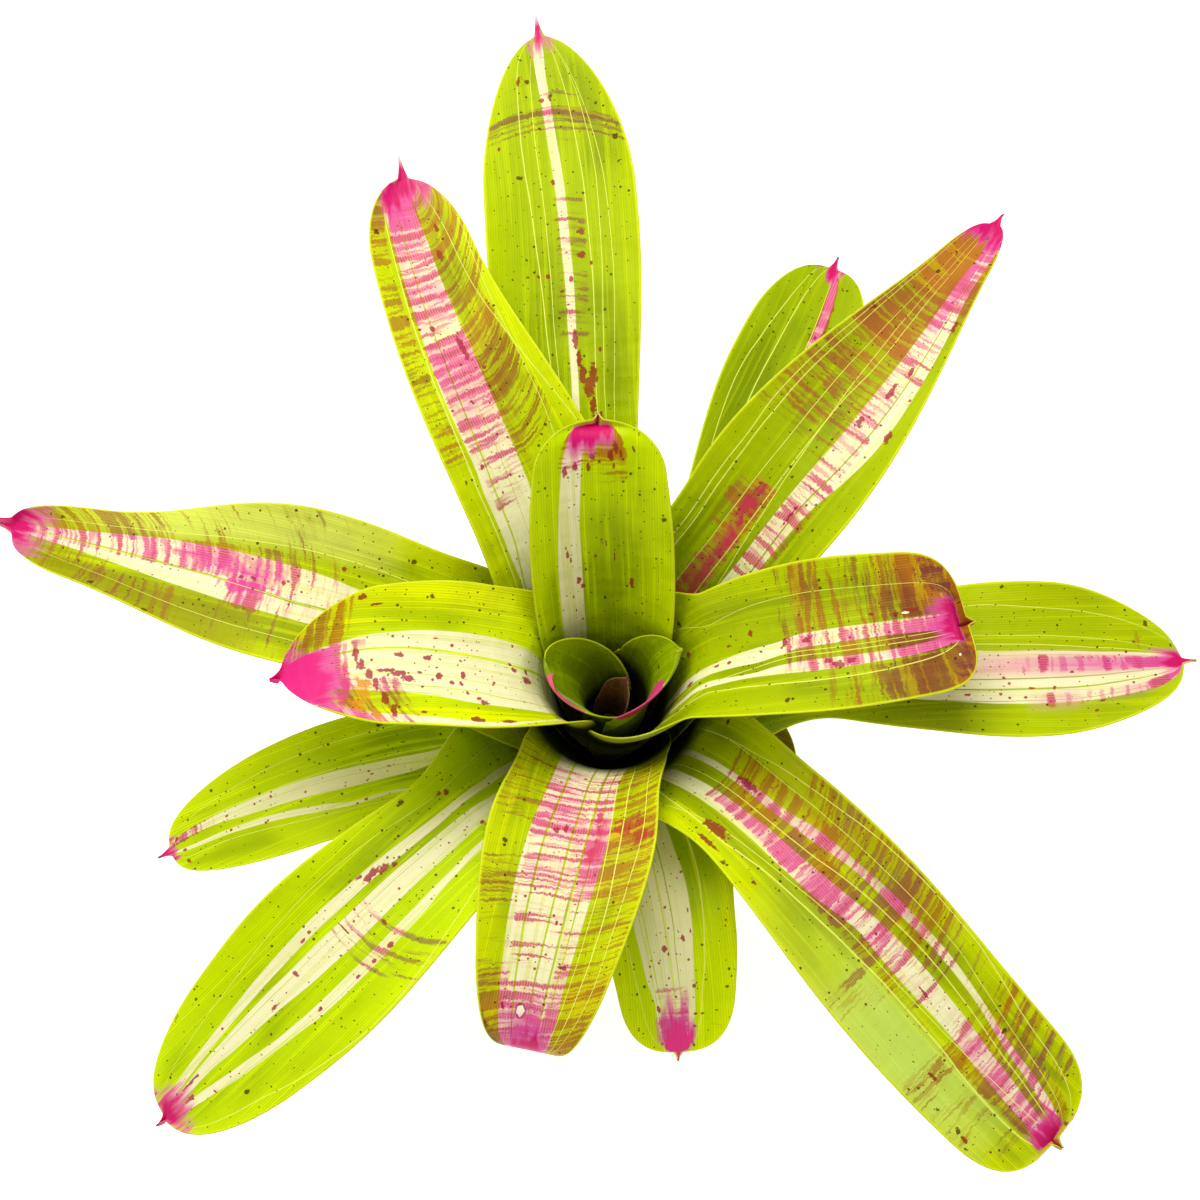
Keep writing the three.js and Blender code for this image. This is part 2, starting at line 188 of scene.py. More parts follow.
def stem_wood():
    """Fibrous bark with paler ring scars, and the bare wood of the cut face."""
    wood = Finish("woody_stem")
    place = wood.add("TexCoord", {}).outputs["Object"]
    x, y, z = wood.parts(place)
    turn = wood.times(wood.calc("ARCTAN2", y, x), FIBRES_ROUND)
    reach = wood.add("VectorMath", {0: place}, operation="LENGTH").outputs["Value"]
    reach = wood.times(reach, 1 / MM)
    fibres = wood.grain(turn, reach, 0.55, 0.06, 4.0)
    rings = wood.grain(turn, reach, 0.04, 0.9, 2.0, seed=3.0)
    bark = wood.wash(dye(BARK), dye(PALE_BARK), wood.ramp(fibres, 0.35, 0.68))
    bark = wood.wash(bark, dye(SCAR_BARK), wood.ramp(rings, 0.5, 0.72, 0.0, 0.55))
    cut = wood.wash(dye(CUT_WOOD), dye(CUT_RINGS), wood.ramp(rings, 0.4, 0.65))
    bark = wood.wash(bark, cut, wood.ramp(z, 0.1 * MM, 0.6 * MM, 1.0, 0.0))
    roughness = wood.ramp(fibres, 0.3, 0.7, 0.9, 0.68)
    wood.set(Base_Color=bark, Roughness=roughness, Specular_IOR_Level=0.25)
    wood.relief(wood.plus(fibres, rings), 0.6 * MM)
    return wood.material


stand_piece("woody_stem", turn_stem(), stem_wood(), "stem")


# ---- Heart leaf ----
# The youngest leaf, still a small rolled spike deep in the cup. Like every leaf it is
# one closed shape: a sheath that clasps the stem, and a blade that opens out of it.

SEAT_GAP = 0.3
SEAT_PITCH = 33.0
OLDEST_PLACE = 17
SHEATH_HANDLES = (7, 15)
THROAT_HANDLE = 0.3
ARCH_STEPS = 200
COLUMNS = 36
ROWS = 170
MARGIN_CROWDING = 0.35
ROWS_TO_THROAT, ROWS_TO_NOSE, ROWS_TO_SPINE = 0.13, 0.72, 0.94
LONGEST_NOSE = 0.7
FOOT_HALF_THICKNESS = 0.572
BLADE_HALF_THICKNESS = 0.528
MARGIN_THINNING = 0.4
SPINE_HALF_WIDTHS = (0.45, 2.4)
OPENS_BELOW = 10
LEFT_WAVE_LAG = 0.4
FLATTEST_CURL = 0.01


def held_in(value, low=0.0, high=1.0):
    return min(max(value, low), high)


def smooth(value):
    value = held_in(value)
    return value * value * (3 - 2 * value)


class Arch:
    """A stretch of midrib, in radius and height, measured along its own length."""

    def __init__(self, start, start_pitch, start_handle, end, end_pitch, end_handle):
        a = math.radians(start_pitch)
        b = math.radians(end_pitch)
        self.p = (
            Vector(start),
            Vector(start) + start_handle * Vector((math.cos(a), math.sin(a))),
            Vector(end) - end_handle * Vector((math.cos(b), math.sin(b))),
            Vector(end),
        )
        points = [self.spot(step / ARCH_STEPS) for step in range(ARCH_STEPS + 1)]
        self.run = [0.0]
        for before, point in zip(points, points[1:]):
            self.run.append(self.run[-1] + (point - before).length)
        self.length = self.run[-1]

    def spot(self, t):
        p0, p1, p2, p3 = self.p
        s = 1 - t
        return s * s * s * p0 + 3 * s * s * t * p1 + 3 * s * t * t * p2 + t * t * t * p3

    def at(self, share):
        """The point and the slope at a share of the length."""
        goal = held_in(share) * self.length
        low, high = 0, ARCH_STEPS
        while high - low > 1:
            middle = (low + high) // 2
            low, high = (middle, high) if self.run[middle] <= goal else (low, middle)
        t = (low + (goal - self.run[low]) / (self.run[high] - self.run[low])) / ARCH_STEPS
        p0, p1, p2, p3 = self.p
        slope = (1 - t) ** 2 * (p1 - p0) + 2 * (1 - t) * t * (p2 - p1) + t * t * (p3 - p2)
        return self.spot(t), slope.normalized()


class Leaf:
    """The form of one leaf, in millimetres and degrees.

    Its place on the stem counts from the youngest. It sets out at a heading and swings
    from it, mostly near the end where late is over 1, and may sway aside and back. Its
    midrib passes the throat and the tip, each a radius and a height, at the pitches rise
    and fall, with curve handles that reach so much of the way between them.

    The sheath wraps the stem as far as clasp at its foot and embrace at the throat, each
    way from the middle. Its right and left margins are drawn in by the tuck, and both
    lean to one side. It takes the blade's width by the end of the flare, and the blade's
    channelled shape by the end of the opening, both measured past the throat.

    The blade is widest at the belly, a share of its length, and has the shares waist and
    shoulder of its width before and after. Its end is rounded over the nose, the fuller
    the higher blunt is, and runs out in a spine. The channel is an angle at the throat
    and one at the end. The wave of the margins has a height, a number and a start. The
    end curls under by the hook, over its length, and the lobe is how much less its
    margins do."""

    def __init__(self, place, heading, swing, throat, rise, tip, fall, width, nose, clasp,
                 embrace, channel, spine, sway=0.0, late=1, reach=(0.36, 0.36), waist=0.8,
                 belly=0.5, shoulder=0.92, blunt=2.0, flare=60.0, opening=48.0, tuck=(0.0, 0.0),
                 lean=0.0, hook=0.0, hook_length=0.0, lobe=0.0, wave=(0.0, 1.0, 0.0)):
        self.heading, self.swing, self.sway, self.late = heading, swing, sway, late
        self.throat, self.width, self.nose, self.spine = throat, width, nose, spine
        self.clasp, self.embrace, self.channel = clasp, embrace, channel
        self.waist, self.belly, self.shoulder, self.blunt = waist, belly, shoulder, blunt
        self.flare, self.opening, self.tuck, self.lean = flare, opening, tuck, lean
        self.hook, self.hook_length, self.lobe, self.wave = hook, hook_length, lobe, wave
        down = place / OLDEST_PLACE
        seat = math.radians(SEAT_PITCH)
        foot = (
            between(CROWN_TOP[0], CROWN_FOOT[0], down) + SEAT_GAP * math.cos(seat),
            between(CROWN_TOP[1], CROWN_FOOT[1], down) + SEAT_GAP * math.sin(seat),
        )
        low_handle = between(*SHEATH_HANDLES, down)
        high_handle = THROAT_HANDLE * math.dist(foot, throat)
        chord = math.dist(throat, tip)
        self.sheath = Arch(foot, SEAT_PITCH, low_handle, throat, rise, high_handle)
        self.blade = Arch(throat, rise, reach[0] * chord, tip, fall, reach[1] * chord)

    def half_width(self, distance):
        length = self.blade.length
        share = distance / length
        if share < self.belly:
            swell = between(self.waist, 1, smooth(share / self.belly))
        else:
            swell = between(1, self.shoulder, smooth((share - self.belly) / (1 - self.belly)))
        left = length - distance
        in_nose = held_in((left - self.spine) / self.nose)
        rounding = (1 - (1 - in_nose) ** self.blunt) ** (1 / self.blunt)
        at_throat = math.radians(self.embrace) * self.throat[0] * rounding
        on_blade = 0.5 * self.width * swell * rounding
        opened = between(at_throat, on_blade, smooth(distance / self.flare))
        return max(opened, between(*SPINE_HALF_WIDTHS, held_in(left / self.spine) ** 2))

    def midrib(self, rib):
        """Where the midrib is, its heading, its share of the blade, and the ways ahead,
        aside and up, at a distance past the throat."""
        length = self.blade.length
        if rib < 0:
            along, turning = 0.0, 0.0
            (radius, height), slope = self.sheath.at(1 + rib / self.sheath.length)
        else:
            along = held_in(rib / length)
            turning = self.swing * self.late * along ** (self.late - 1)
            turning += self.sway * math.pi * math.cos(math.pi * along)
            (radius, height), slope = self.blade.at(rib / length)
        swung = self.swing * along ** self.late + self.sway * math.sin(math.pi * along)
        heading = math.radians(self.heading + swung)
        outward = Vector((math.cos(heading), math.sin(heading), 0))
        side = Vector((-math.sin(heading), math.cos(heading), 0))
        ahead = outward * slope[0] + side * (radius * math.radians(turning) / length)
        ahead.z = slope[1]
        ahead.normalize()
        side -= ahead * side.dot(ahead)
        side.normalize()
        return radius, height, heading, along, (ahead, side, ahead.cross(side))

    def point(self, distance, across):
        """A point of the middle surface, and the leaf's half width there."""
        hook_start = self.blade.length - self.hook_length
        past = max(distance - hook_start, 0.0) if self.hook > 0 else 0.0
        radius, height, heading, along, (ahead, side, upper) = self.midrib(distance - past)

        sheath_share = held_in(1 + distance / self.sheath.length)
        if distance < 0:
            half_angle = math.radians(between(self.clasp, self.embrace, sheath_share))
        else:
            half_angle = self.half_width(distance) / radius
        half = half_angle * radius
        leaning = sheath_share ** 2 * (1 - smooth(distance / self.flare))
        aside = across + abs(across) * self.lean * leaning

        draw_in = self.tuck[0 if across < 0 else 1] * across ** 4 * sheath_share ** 2
        drawn = radius * (1 - draw_in)
        angle = heading + aside * half_angle
        wrapped = Vector((drawn * math.cos(angle), drawn * math.sin(angle), height))

        bow = math.radians(between(self.channel[0], self.channel[1], along))
        lift = half * (1 - math.cos(aside * bow)) / bow
        waves = self.wave[1] * along + self.wave[2] + (0 if across < 0 else LEFT_WAVE_LAG)
        lift += self.wave[0] * abs(across) ** 3 * math.sin(math.tau * waves)
        spread = Vector((math.cos(heading), math.sin(heading), 0)) * radius
        spread.z = height
        spread += side * (half * math.sin(aside * bow) / bow) + upper * lift
        if past > 0:
            curl = math.radians(self.hook) * (1 - self.lobe * across ** 2)
            curl = max(curl, FLATTEST_CURL) / self.hook_length
            spread += ahead * (math.sin(curl * past) / curl)
            spread -= upper * ((1 - math.cos(curl * past)) / curl)
        opened = smooth((distance + OPENS_BELOW) / (OPENS_BELOW + self.opening))
        return wrapped.lerp(spread, opened), half

    def row_distance(self, row):
        """How far past the throat a row of the grid is: rows lie closer towards the tip."""
        length = self.blade.length
        to_spine = length - self.spine
        stops = (
            (0, -self.sheath.length),
            (ROWS_TO_THROAT, 0),
            (ROWS_TO_NOSE, to_spine - min(self.nose, LONGEST_NOSE * to_spine)),
            (ROWS_TO_SPINE, to_spine),
            (1, length),
        )
        for (from_row, start), (to_row, end) in zip(stops, stops[1:]):
            if row <= to_row + 1e-6:
                return between(start, end, (row - from_row) / (to_row - from_row))
        return length

    def shape(self):
        """The closed leaf: a grid laid on the middle surface, thickened both ways."""
        mesh = bmesh.new()
        bmesh.ops.create_grid(mesh, x_segments=COLUMNS, y_segments=ROWS, size=1)
        layers = mesh.verts.layers.float_vector
        place = layers.new("leaf_place")
        spread = layers.new("leaf_mm")
        lift = layers.new("leaf_lift")
        length = self.blade.length
        for vert in mesh.verts:
            aside = -vert.co.x
            across = aside * (1 + MARGIN_CROWDING - MARGIN_CROWDING * aside * aside)
            distance = self.row_distance(0.5 * (vert.co.y + 1))
            spot, half = self.point(distance, across)
            vert.co = spot * MM
            vert[place] = (across, distance / length, 1.0)
            vert[spread] = (across * half, distance, length)
        mesh.normal_update()
        for vert in mesh.verts:
            up_sheath = smooth(1 + vert[spread].y / self.sheath.length)
            thick = between(FOOT_HALF_THICKNESS, BLADE_HALF_THICKNESS, up_sheath)
            thick *= 1 - MARGIN_THINNING * vert[place].x ** 2
            vert[lift] = vert.normal * (thick * MM)
        under = mesh.verts[:]
        solid = bmesh.ops.extrude_face_region(mesh, geom=mesh.faces[:], use_keep_orig=True)
        for vert in under:
            vert.co -= vert[lift]
            vert[place].z = -1.0
        for part in solid["geom"]:
            if isinstance(part, bmesh.types.BMVert):
                part.co += part[lift]
        for vert in mesh.verts:
            vert.co = [held_in(c, low, high) for c, low, high in zip(vert.co, *cad_box)]
        bmesh.ops.recalc_face_normals(mesh, faces=mesh.faces)
        layers.remove(lift)
        return mesh


# A leaf's marks, unless its own say otherwise. Places and sizes on a leaf are hundredths:
# along the blade from 0 at the throat (below 0 on the sheath) to 100 at the end, and
# across it from -100 at the right margin to 100 at the left. Amounts are hundredths too.
PLAIN = dict(
    seed=1,
    # Greens per leaf are partly painted light and shade: lighter on dim leaves, darker on lit ones.
    greens=("97ae00", "b4ca00", "ccdd00"),  # dark, middle and light
    glow=45,  # of light green at the margins
    cream=(),  # stripes, each through points (along, right edge, left edge)
    veins=(),  # green lines through the cream: half width, points (along, across)
    threads=(),  # pale lines, given as the veins are
    bloom=(),  # soft patches: colour, right edge, left edge, points (along, amount)
    flush=(),  # pink on cream and rust on green: right, left edge, points (along, amount)
    gold="c58300", rust="b04d12", maroon="86281c",
    hold=50,  # how much of a flush lies between its bars, on green
    bow=(0, 0),  # how far ahead its bars are at the right and the left margin
    pitch=0.3,  # its bars to a millimetre
    dabs=(),  # a colour, and marks (along, across, half length, half width)
    blots=(), scars=(),  # marks, in their own colours
    dust=30, freckles=20, spots=14,  # how common the three sizes of freckle are
    blush=6, feather=2.2,  # how far the pink runs back from the tip, and how unevenly
    tip_colour="d00c66",
    spine_colour="a03a5a", spine_from=98.5,
    rim=100,  # of yellow along the margins
    shade=(22, 50),  # how far the painted shade at the throat reaches, and its depth
    lips=(),  # coloured edges: a colour, and points as for cream
    dark_below=0,  # mm past the throat that the underside is in deep shade
    water=0, stain="10160a",  # mm past the throat where the painted shade inside the tank starts, and its colour
    rough=0.36,
)
VEIN_GAP = 1.15
VEIN_GREEN, THREAD, MARGIN, THROAT_SHADE = "7f9a00", "eef26a", "dfe820", "3c4a00"
CREAM, CREAM_STREAK, CREAM_VEIN = "f7efbe", "e4e48a", "d3d96a"
PINK_TINT, PINK, DEEP_PINK, BLUSH = "ea86b0", "dc4288", "c4125e", "e0489a"
FRECKLE, FRECKLE_ON_CREAM, BLOT, BLOT_ON_CREAM = "4c2406", "98103f", "8f2a1c", "a80f48"
SCAR_EDGE, SCAR_MIDDLE = "8f451c", "fbf4d8"
UNDERSIDE, SCURF, DEEP_SHADE, PALE_SHEATH, ROT = "7f9420", "b9bf8c", "141a02", "aeab6a", "5f4422"
# Each size of freckle: its mark above, and its spacing and radius in millimetres.
FRECKLES = (("dust", 1.9, 0.36), ("freckles", 3.4, 0.62), ("spots", 9.0, 1.3))
HOLD_ON_CREAM = 0.64
# In millimetres: how gradually the painted shade in the tank and the deep shade come on, and
# where past the throat the sheath pales outside and its foot browns.
TANK_SHADE_DEPTH = 18.0
SHADE_DEPTH = 12.0
PALE_FROM, PALE_TO = -14.0, -46.0
ROT_FROM, ROT_TO, ROT_RAGGED = -36.0, -62.0, 14.0
GLOSS, GLOSS_TINT = 0.16, (1.0, 0.95, 0.3, 1.0)


class Skin(Finish):
    """A leaf's skin, painted from the ground up with its marks."""

    def __init__(self, name, marks):
        super().__init__(name)
        self.marks = PLAIN | marks
        self.where = self.add("Attribute", {}, attribute_name="leaf_place").outputs["Vector"]
        spread = self.add("Attribute", {}, attribute_name="leaf_mm").outputs["Vector"]
        self.across, self.along, face = self.parts(self.where)
        self.x, self.y, self.length = self.parts(spread)
        self.aside = self.calc("ABSOLUTE", self.across)
        self.below = self.ramp(face, -0.2, 0.2, 1.0, 0.0)  # 1 on the underside
        self.streak = self.noise(0.42, 0.012, 2.0, 7)
        self.fray = self.noise(0.5, 0.5, 2.0, 29)
        waver = self.ramp(self.noise(0.03, 0.04, 1.0, 19), 0.3, 0.7, -0.004, 0.004)
        self.wavering = self.plus(self.across, waver)  # for the edges of stripes
        self.veins = self.calc("SINE", self.times(self.x, math.tau / VEIN_GAP))
        strength = self.ramp(self.streak, 0.35, 0.6, 0.3, 1.0)
        self.vein_lines = self.times(self.ramp(self.veins, 0.35, 1.0), strength)
        self.lay_out_bars()

    def lay_out_bars(self):
        """Bars cross the leaf, bow towards its margins, and step from vein to vein."""
        seed, pitch = self.marks["seed"], self.marks["pitch"]
        bow_right, bow_left = (bow / 100 for bow in self.marks["bow"])
        right = self.calc("LESS_THAN", self.across, 0.0)
        bow = self.scaled(right, bow_right - bow_left, bow_left)
        back = self.times(self.times(self.across, self.across), bow)
        number = self.calc("FLOOR", self.calc("DIVIDE", self.x, VEIN_GAP))
        pick = {"W": self.plus(number, 31.0 * seed)}
        odd = self.add("TexWhiteNoise", pick, noise_dimensions="1D").outputs["Value"]
        step = self.plus(self.scaled(odd, 0.5, -0.25), self.scaled(self.fray, 1.6, -0.8))
        bent = self.minus(self.along, back)
        self.bent = self.plus(bent, self.calc("DIVIDE", step, self.length))
        self.bent_y = self.plus(self.minus(self.y, self.times(back, self.length)), step)
        self.bars = self.noise(0.03, pitch, 1.8, 31, self.bent_y)
        self.fine_bars = self.noise(0.05, pitch * 2.2, 1.0, 35, self.bent_y)

    def noise(self, across, along, detail, salt, y=None):
        """Noise with so many features to a millimetre across and along."""
        y = self.y if y is None else y
        return self.grain(self.x, y, across, along, detail, self.marks["seed"] + salt)

    def follow(self, value, points, handles="AUTO_CLAMPED"):
        """The height of a curve through the points, at the value."""
        points = [(place / 100, height / 100) for place, height in points]
        node = self.add("FloatCurve", {"Value": value})
        node.mapping.use_clip = False
        curve = node.mapping.curves[0]
        curve.points[0].location = points[0]
        curve.points[1].location = points[-1]
        for point in points[1:-1]:
            curve.points.new(*point)
        for point in curve.points:
            point.handle_type = handles
        node.mapping.update()
        return node.outputs[0]

    def stripe(self, across, edges, soft=0.008):
        low = self.follow(self.along, [(along, right) for along, right, left in edges])
        high = self.follow(self.along, [(along, left) for along, right, left in edges])
        inside = self.ramp(self.minus(across, low), -soft, soft)
        return self.times(inside, self.ramp(self.minus(high, across), -soft, soft))

    def band(self, right, left, soft):
        return self.stripe(self.across, [(0, right, left), (100, right, left)], soft)

    def thread(self, half, path):
        off = self.calc("ABSOLUTE", self.minus(self.wavering, self.follow(self.along, path)))
        return self.ramp(off, 0.002 * half, 0.008 * half, 1.0, 0.0)

    def nearest(self, marks):
        """How many of its own half sizes a point is from the nearest mark."""
        gaps = []
        for along, across, long, wide in marks:
            size = (100 / wide, 100 / long, 0)
            middle = (-across / wide, -along / long, 0)
            inputs = {0: self.where, 1: size, 2: middle}
            gap = self.add("VectorMath", inputs, operation="MULTIPLY_ADD").outputs[0]
            gaps.append(self.add("VectorMath", {0: gap}, operation="LENGTH").outputs["Value"])
        return self.either(gaps, "MINIMUM")

    def specks(self, spacing, radius, keep, ragged):
        """Small round dots: a random few of a scatter's cells hold one."""
        place = self.add("CombineXYZ", {0: self.x, 1: self.y, 2: 7.0 * spacing}).outputs[0]
        scatter = self.add("TexVoronoi", {"Vector": place, "Scale": 1 / spacing})
        pick = self.parts(scatter.outputs["Color"])[0]
        low = self.minus(1.0, keep)
        size = self.ramp(pick, low, self.scaled(keep, 0.5, low), 0.0, radius / spacing)
        off = self.plus(scatter.outputs["Distance"], ragged)
        return self.ramp(self.minus(size, off), -0.03, 0.03)

    def lay(self, colour, mask):
        """Washes a colour over what is painted so far."""
        colour = dye(colour) if isinstance(colour, str) else colour
        self.paint = self.wash(self.paint, colour, mask)

    def paint_green(self):
        deep, middle, light = self.marks["greens"]
        broad = self.ramp(self.noise(0.03, 0.014, 2.0, 0), 0.36, 0.56)
        self.paint = self.wash(dye(deep), dye(middle), broad)
        self.lay(light, self.ramp(self.streak, 0.46, 0.7, 0.0, 0.6))
        self.lay(light, self.ramp(self.aside, 0.55, 1.0, 0.0, self.marks["glow"] / 100))
        self.lay(VEIN_GREEN, self.times(self.vein_lines, 0.34))

    def paint_cream(self):
        stripes = [self.stripe(self.wavering, edges) for edges in self.marks["cream"]]
        self.cream = self.either(stripes) if stripes else 0.0
        for vein in self.marks["veins"]:
            self.cream = self.times(self.cream, self.minus(1.0, self.thread(*vein)))
        streaks = self.ramp(self.streak, 0.47, 0.68, 0.0, 0.8)
        cream = self.wash(dye(CREAM), dye(CREAM_STREAK), streaks)
        cream = self.wash(cream, dye(CREAM_VEIN), self.times(self.vein_lines, 0.4))
        self.lay(cream, self.cream)

    def paint_bloom(self):
        # Patches of paler green, darker olive and pink, each over a band across the leaf.
        for colour, right, left, amounts in self.marks["bloom"]:
            patch = self.times(self.band(right, left, 0.12), self.follow(self.along, amounts))
            self.lay(colour, self.times(patch, self.ramp(self.streak, 0.2, 0.6, 0.6, 1.0)))

    def paint_flush(self):
        """Bars across the leaf with a thinner wash between them."""
        amounts = []
        for right, left, heights in self.marks["flush"]:
            height = self.follow(self.bent, heights, "VECTOR")
            amounts.append(self.times(height, self.band(right, left, 0.04)))
        if not amounts:
            return
        amount = self.either(amounts)
        patches = self.scaled(self.noise(0.05, 0.06, 2.0, 33, self.bent_y), 0.8, -0.4)
        tint = self.ramp(self.plus(amount, patches), 0.3, 1.0)
        bar = self.minus(self.scaled(amount, 0.85, -0.02), self.ramp(self.bars, 0.3, 0.7))
        line = self.ramp(self.fine_bars, 0.52, 0.6)
        line = self.times(line, self.ramp(amount, 0.1, 0.5, 0.0, 0.8))
        bar = self.calc("MAXIMUM", self.ramp(bar, -0.12, 0.16), line)
        bar = self.times(bar, self.ramp(amount, 0.04, 0.16))
        bar = self.times(bar, self.scaled(self.vein_lines, -0.4, 0.92))

        gold, rust, maroon = (dye(self.marks[key]) for key in ("gold", "rust", "maroon"))
        warm = self.ramp(self.noise(0.02, 0.03, 1.0, 37, self.bent_y), 0.4, 0.6)
        tinted = self.wash(self.wash(gold, rust, warm), dye(PINK_TINT), self.cream)
        pink = self.wash(dye(PINK), dye(DEEP_PINK), self.ramp(self.bars, 0.47, 0.36))
        barred = self.wash(self.wash(rust, maroon, warm), pink, self.cream)
        hold = self.marks["hold"] / 100
        hold = self.scaled(self.cream, HOLD_ON_CREAM - hold, hold)
        self.lay(tinted, self.times(tint, hold))
        self.lay(barred, self.times(bar, self.scaled(self.cream, 0.15, 0.8)))

    def paint_dabs(self):
        if not self.marks["dabs"]:
            return
        ragged = self.noise(0.22, 0.3, 2.0, 53, self.bent_y)
        ragged = self.ramp(ragged, 0.3, 0.7, -0.45, 0.45)
        streaks = self.ramp(self.streak, 0.42, 0.62, 1.0, 0.55)
        for colour, dabs in self.marks["dabs"]:
            near = self.plus(self.nearest(dabs), ragged)
            self.lay(colour, self.times(self.ramp(near, 0.6, 1.1, 0.9, 0.0), streaks))

    def paint_threads(self):
        for thread in self.marks["threads"]:
            self.lay(THREAD, self.times(self.thread(*thread), 0.9))

    def paint_freckles(self):
        """Dark over green and crimson over cream, and thicker along some of the bars."""
        rows = self.ramp(self.bars, 0.52, 0.66, 0.0, 0.22)
        ragged = self.ramp(self.fray, 0.3, 0.7, -0.05, 0.05)
        colour = self.wash(dye(FRECKLE), dye(FRECKLE_ON_CREAM), self.cream)
        for key, spacing, radius in FRECKLES:
            keep = self.plus(rows, self.marks[key] / 100)
            self.lay(colour, self.times(self.specks(spacing, radius, keep, ragged), 0.88))

    def paint_blots(self):
        if self.marks["blots"]:
            ragged = self.ramp(self.fray, 0.25, 0.75, -0.4, 0.4)
            near = self.plus(self.nearest(self.marks["blots"]), ragged)
            colour = self.wash(dye(BLOT), dye(BLOT_ON_CREAM), self.cream)
            self.lay(colour, self.ramp(near, 0.75, 1.1, 0.9, 0.0))

    def paint_scars(self):
        for scar in self.marks["scars"]:
            ragged = self.ramp(self.fray, 0.3, 0.7, -0.15, 0.15)
            near = self.plus(self.nearest([scar]), ragged)
            self.lay(SCAR_EDGE, self.ramp(near, 1.1, 1.4, 1.0, 0.0))
            self.lay(SCAR_MIDDLE, self.ramp(near, 0.8, 1.0, 1.0, 0.0))

    def paint_tip(self):
        """The tip's colour starts further back in some places across than in others."""
        marks = self.marks
        feather = marks["feather"] / 100
        feather = self.ramp(self.noise(0.35, 0.06, 2.0, 41), 0.3, 0.7, -feather, feather)
        start = self.follow(self.across, marks["tip"])
        self.past = self.plus(self.minus(self.along, start), feather)
        self.lay(BLUSH, self.ramp(self.past, -marks["blush"] / 100, 0.0, 0.0, 0.8))
        self.lay(marks["tip_colour"], self.ramp(self.past, -0.015, 0.02))
        self.lay(marks["spine_colour"], self.ramp(self.along, marks["spine_from"] / 100, 1.0))

    def paint_margin(self):
        rim = self.ramp(self.past, -0.03, 0.0, self.marks["rim"] / 100, 0.0)
        self.lay(MARGIN, self.times(self.ramp(self.aside, 0.955, 0.99, 0.0, 0.8), rim))

    def paint_throat_shade(self):
        # Painted shade: olive darkening the leaf where it goes down into the throat.
        reach, depth = self.marks["shade"]
        self.lay(THROAT_SHADE, self.ramp(self.along, 0.0, reach / 100, depth / 100, 0.0))

    def paint_underside(self):
        """Duller than the upper side, with a pale scurf in crossways bands."""
        dull = self.times(self.below, self.ramp(self.past, -0.02, 0.01, 1.0, 0.0))
        scurf = self.ramp(self.noise(0.08, 0.22, 3.0, 43), 0.5, 0.72, 0.0, 0.45)
        self.lay(UNDERSIDE, self.times(dull, 0.55))
        self.lay(SCURF, self.times(dull, scurf))
        dark = self.marks["dark_below"]
        if dark:
            deep = self.ramp(self.y, dark, dark - SHADE_DEPTH)
            self.lay(DEEP_SHADE, self.times(self.below, deep))

    def paint_lips(self):
        for colour, edges in self.marks["lips"]:
            self.lay(colour, self.stripe(self.wavering, edges, 0.03))

    def paint_sheath(self):
        """Painted shade, nearly black, on the upper side down inside the tank; pale low down outside,
        and brown at its foot.
        """
        water = self.marks["water"]
        in_tank_shade = self.ramp(self.y, water, water - TANK_SHADE_DEPTH)
        # Painted shade, nearly black, down inside the tank on the upper side.
        self.lay(self.marks["stain"], self.times(in_tank_shade, self.scaled(self.below, -0.94, 0.94)))
        pale = self.ramp(self.y, PALE_FROM, PALE_TO, 0.0, 0.85)
        self.lay(PALE_SHEATH, self.times(self.below, pale))
        ragged = self.scaled(self.fray, ROT_RAGGED, self.y)
        self.lay(ROT, self.ramp(ragged, ROT_FROM, ROT_TO, 0.0, 0.8))

    def wax(self):
        """A satin gloss, over fine veins and broad ripples."""
        rough = self.marks["rough"]
        streaks = self.ramp(self.streak, 0.3, 0.7, rough, rough + 0.1)
        roughness = self.plus(streaks, self.times(self.below, 0.2))
        self.set(Base_Color=self.paint, Roughness=roughness)
        self.set(Specular_IOR_Level=GLOSS, Specular_Tint=GLOSS_TINT)
        ripples = self.times(self.noise(0.035, 0.07, 2.0, 47), 5.0)
        height = self.plus(ripples, self.times(self.streak, 0.6))
        self.relief(self.plus(height, self.times(self.veins, 0.06)), 0.4 * MM, 0.8)


def grow_leaf(name, form, slot="leaf", **marks):
    skin = Skin(name + "_skin", marks)
    skin.paint_green()
    skin.paint_cream()
    skin.paint_bloom()
    skin.paint_flush()
    skin.paint_dabs()
    skin.paint_threads()
    skin.paint_freckles()
    skin.paint_blots()
    skin.paint_scars()
    skin.paint_tip()
    skin.paint_margin()
    skin.paint_throat_shade()
    skin.paint_underside()
    skin.paint_lips()
    skin.paint_sheath()
    skin.wax()
    stand_piece(name + "_skin", form.shape(), skin.material, name)


grow_leaf(
    "leaf_00_heart",
    Leaf(place=0, heading=40, swing=0, throat=(8, 68), rise=84, tip=(10.5, 82), fall=70, width=14,
         nose=12, clasp=120, embrace=70, channel=(60, 40), spine=3, flare=16, opening=30),
    seed=2, greens=("8a5634", "b06a50", "c47c62"), tip=[(-100, 90), (100, 90)], shade=(0, 0), water=-8,
    rim=0, tip_colour="b06058", stain="241a08",
)


# ---- Cup leaves ----
# Two short upright leaves of soft green tissue, whose sheaths wrap round the heart leaf
# and close the cup. They are plain but for a few pale streaks and a pink rim in front.

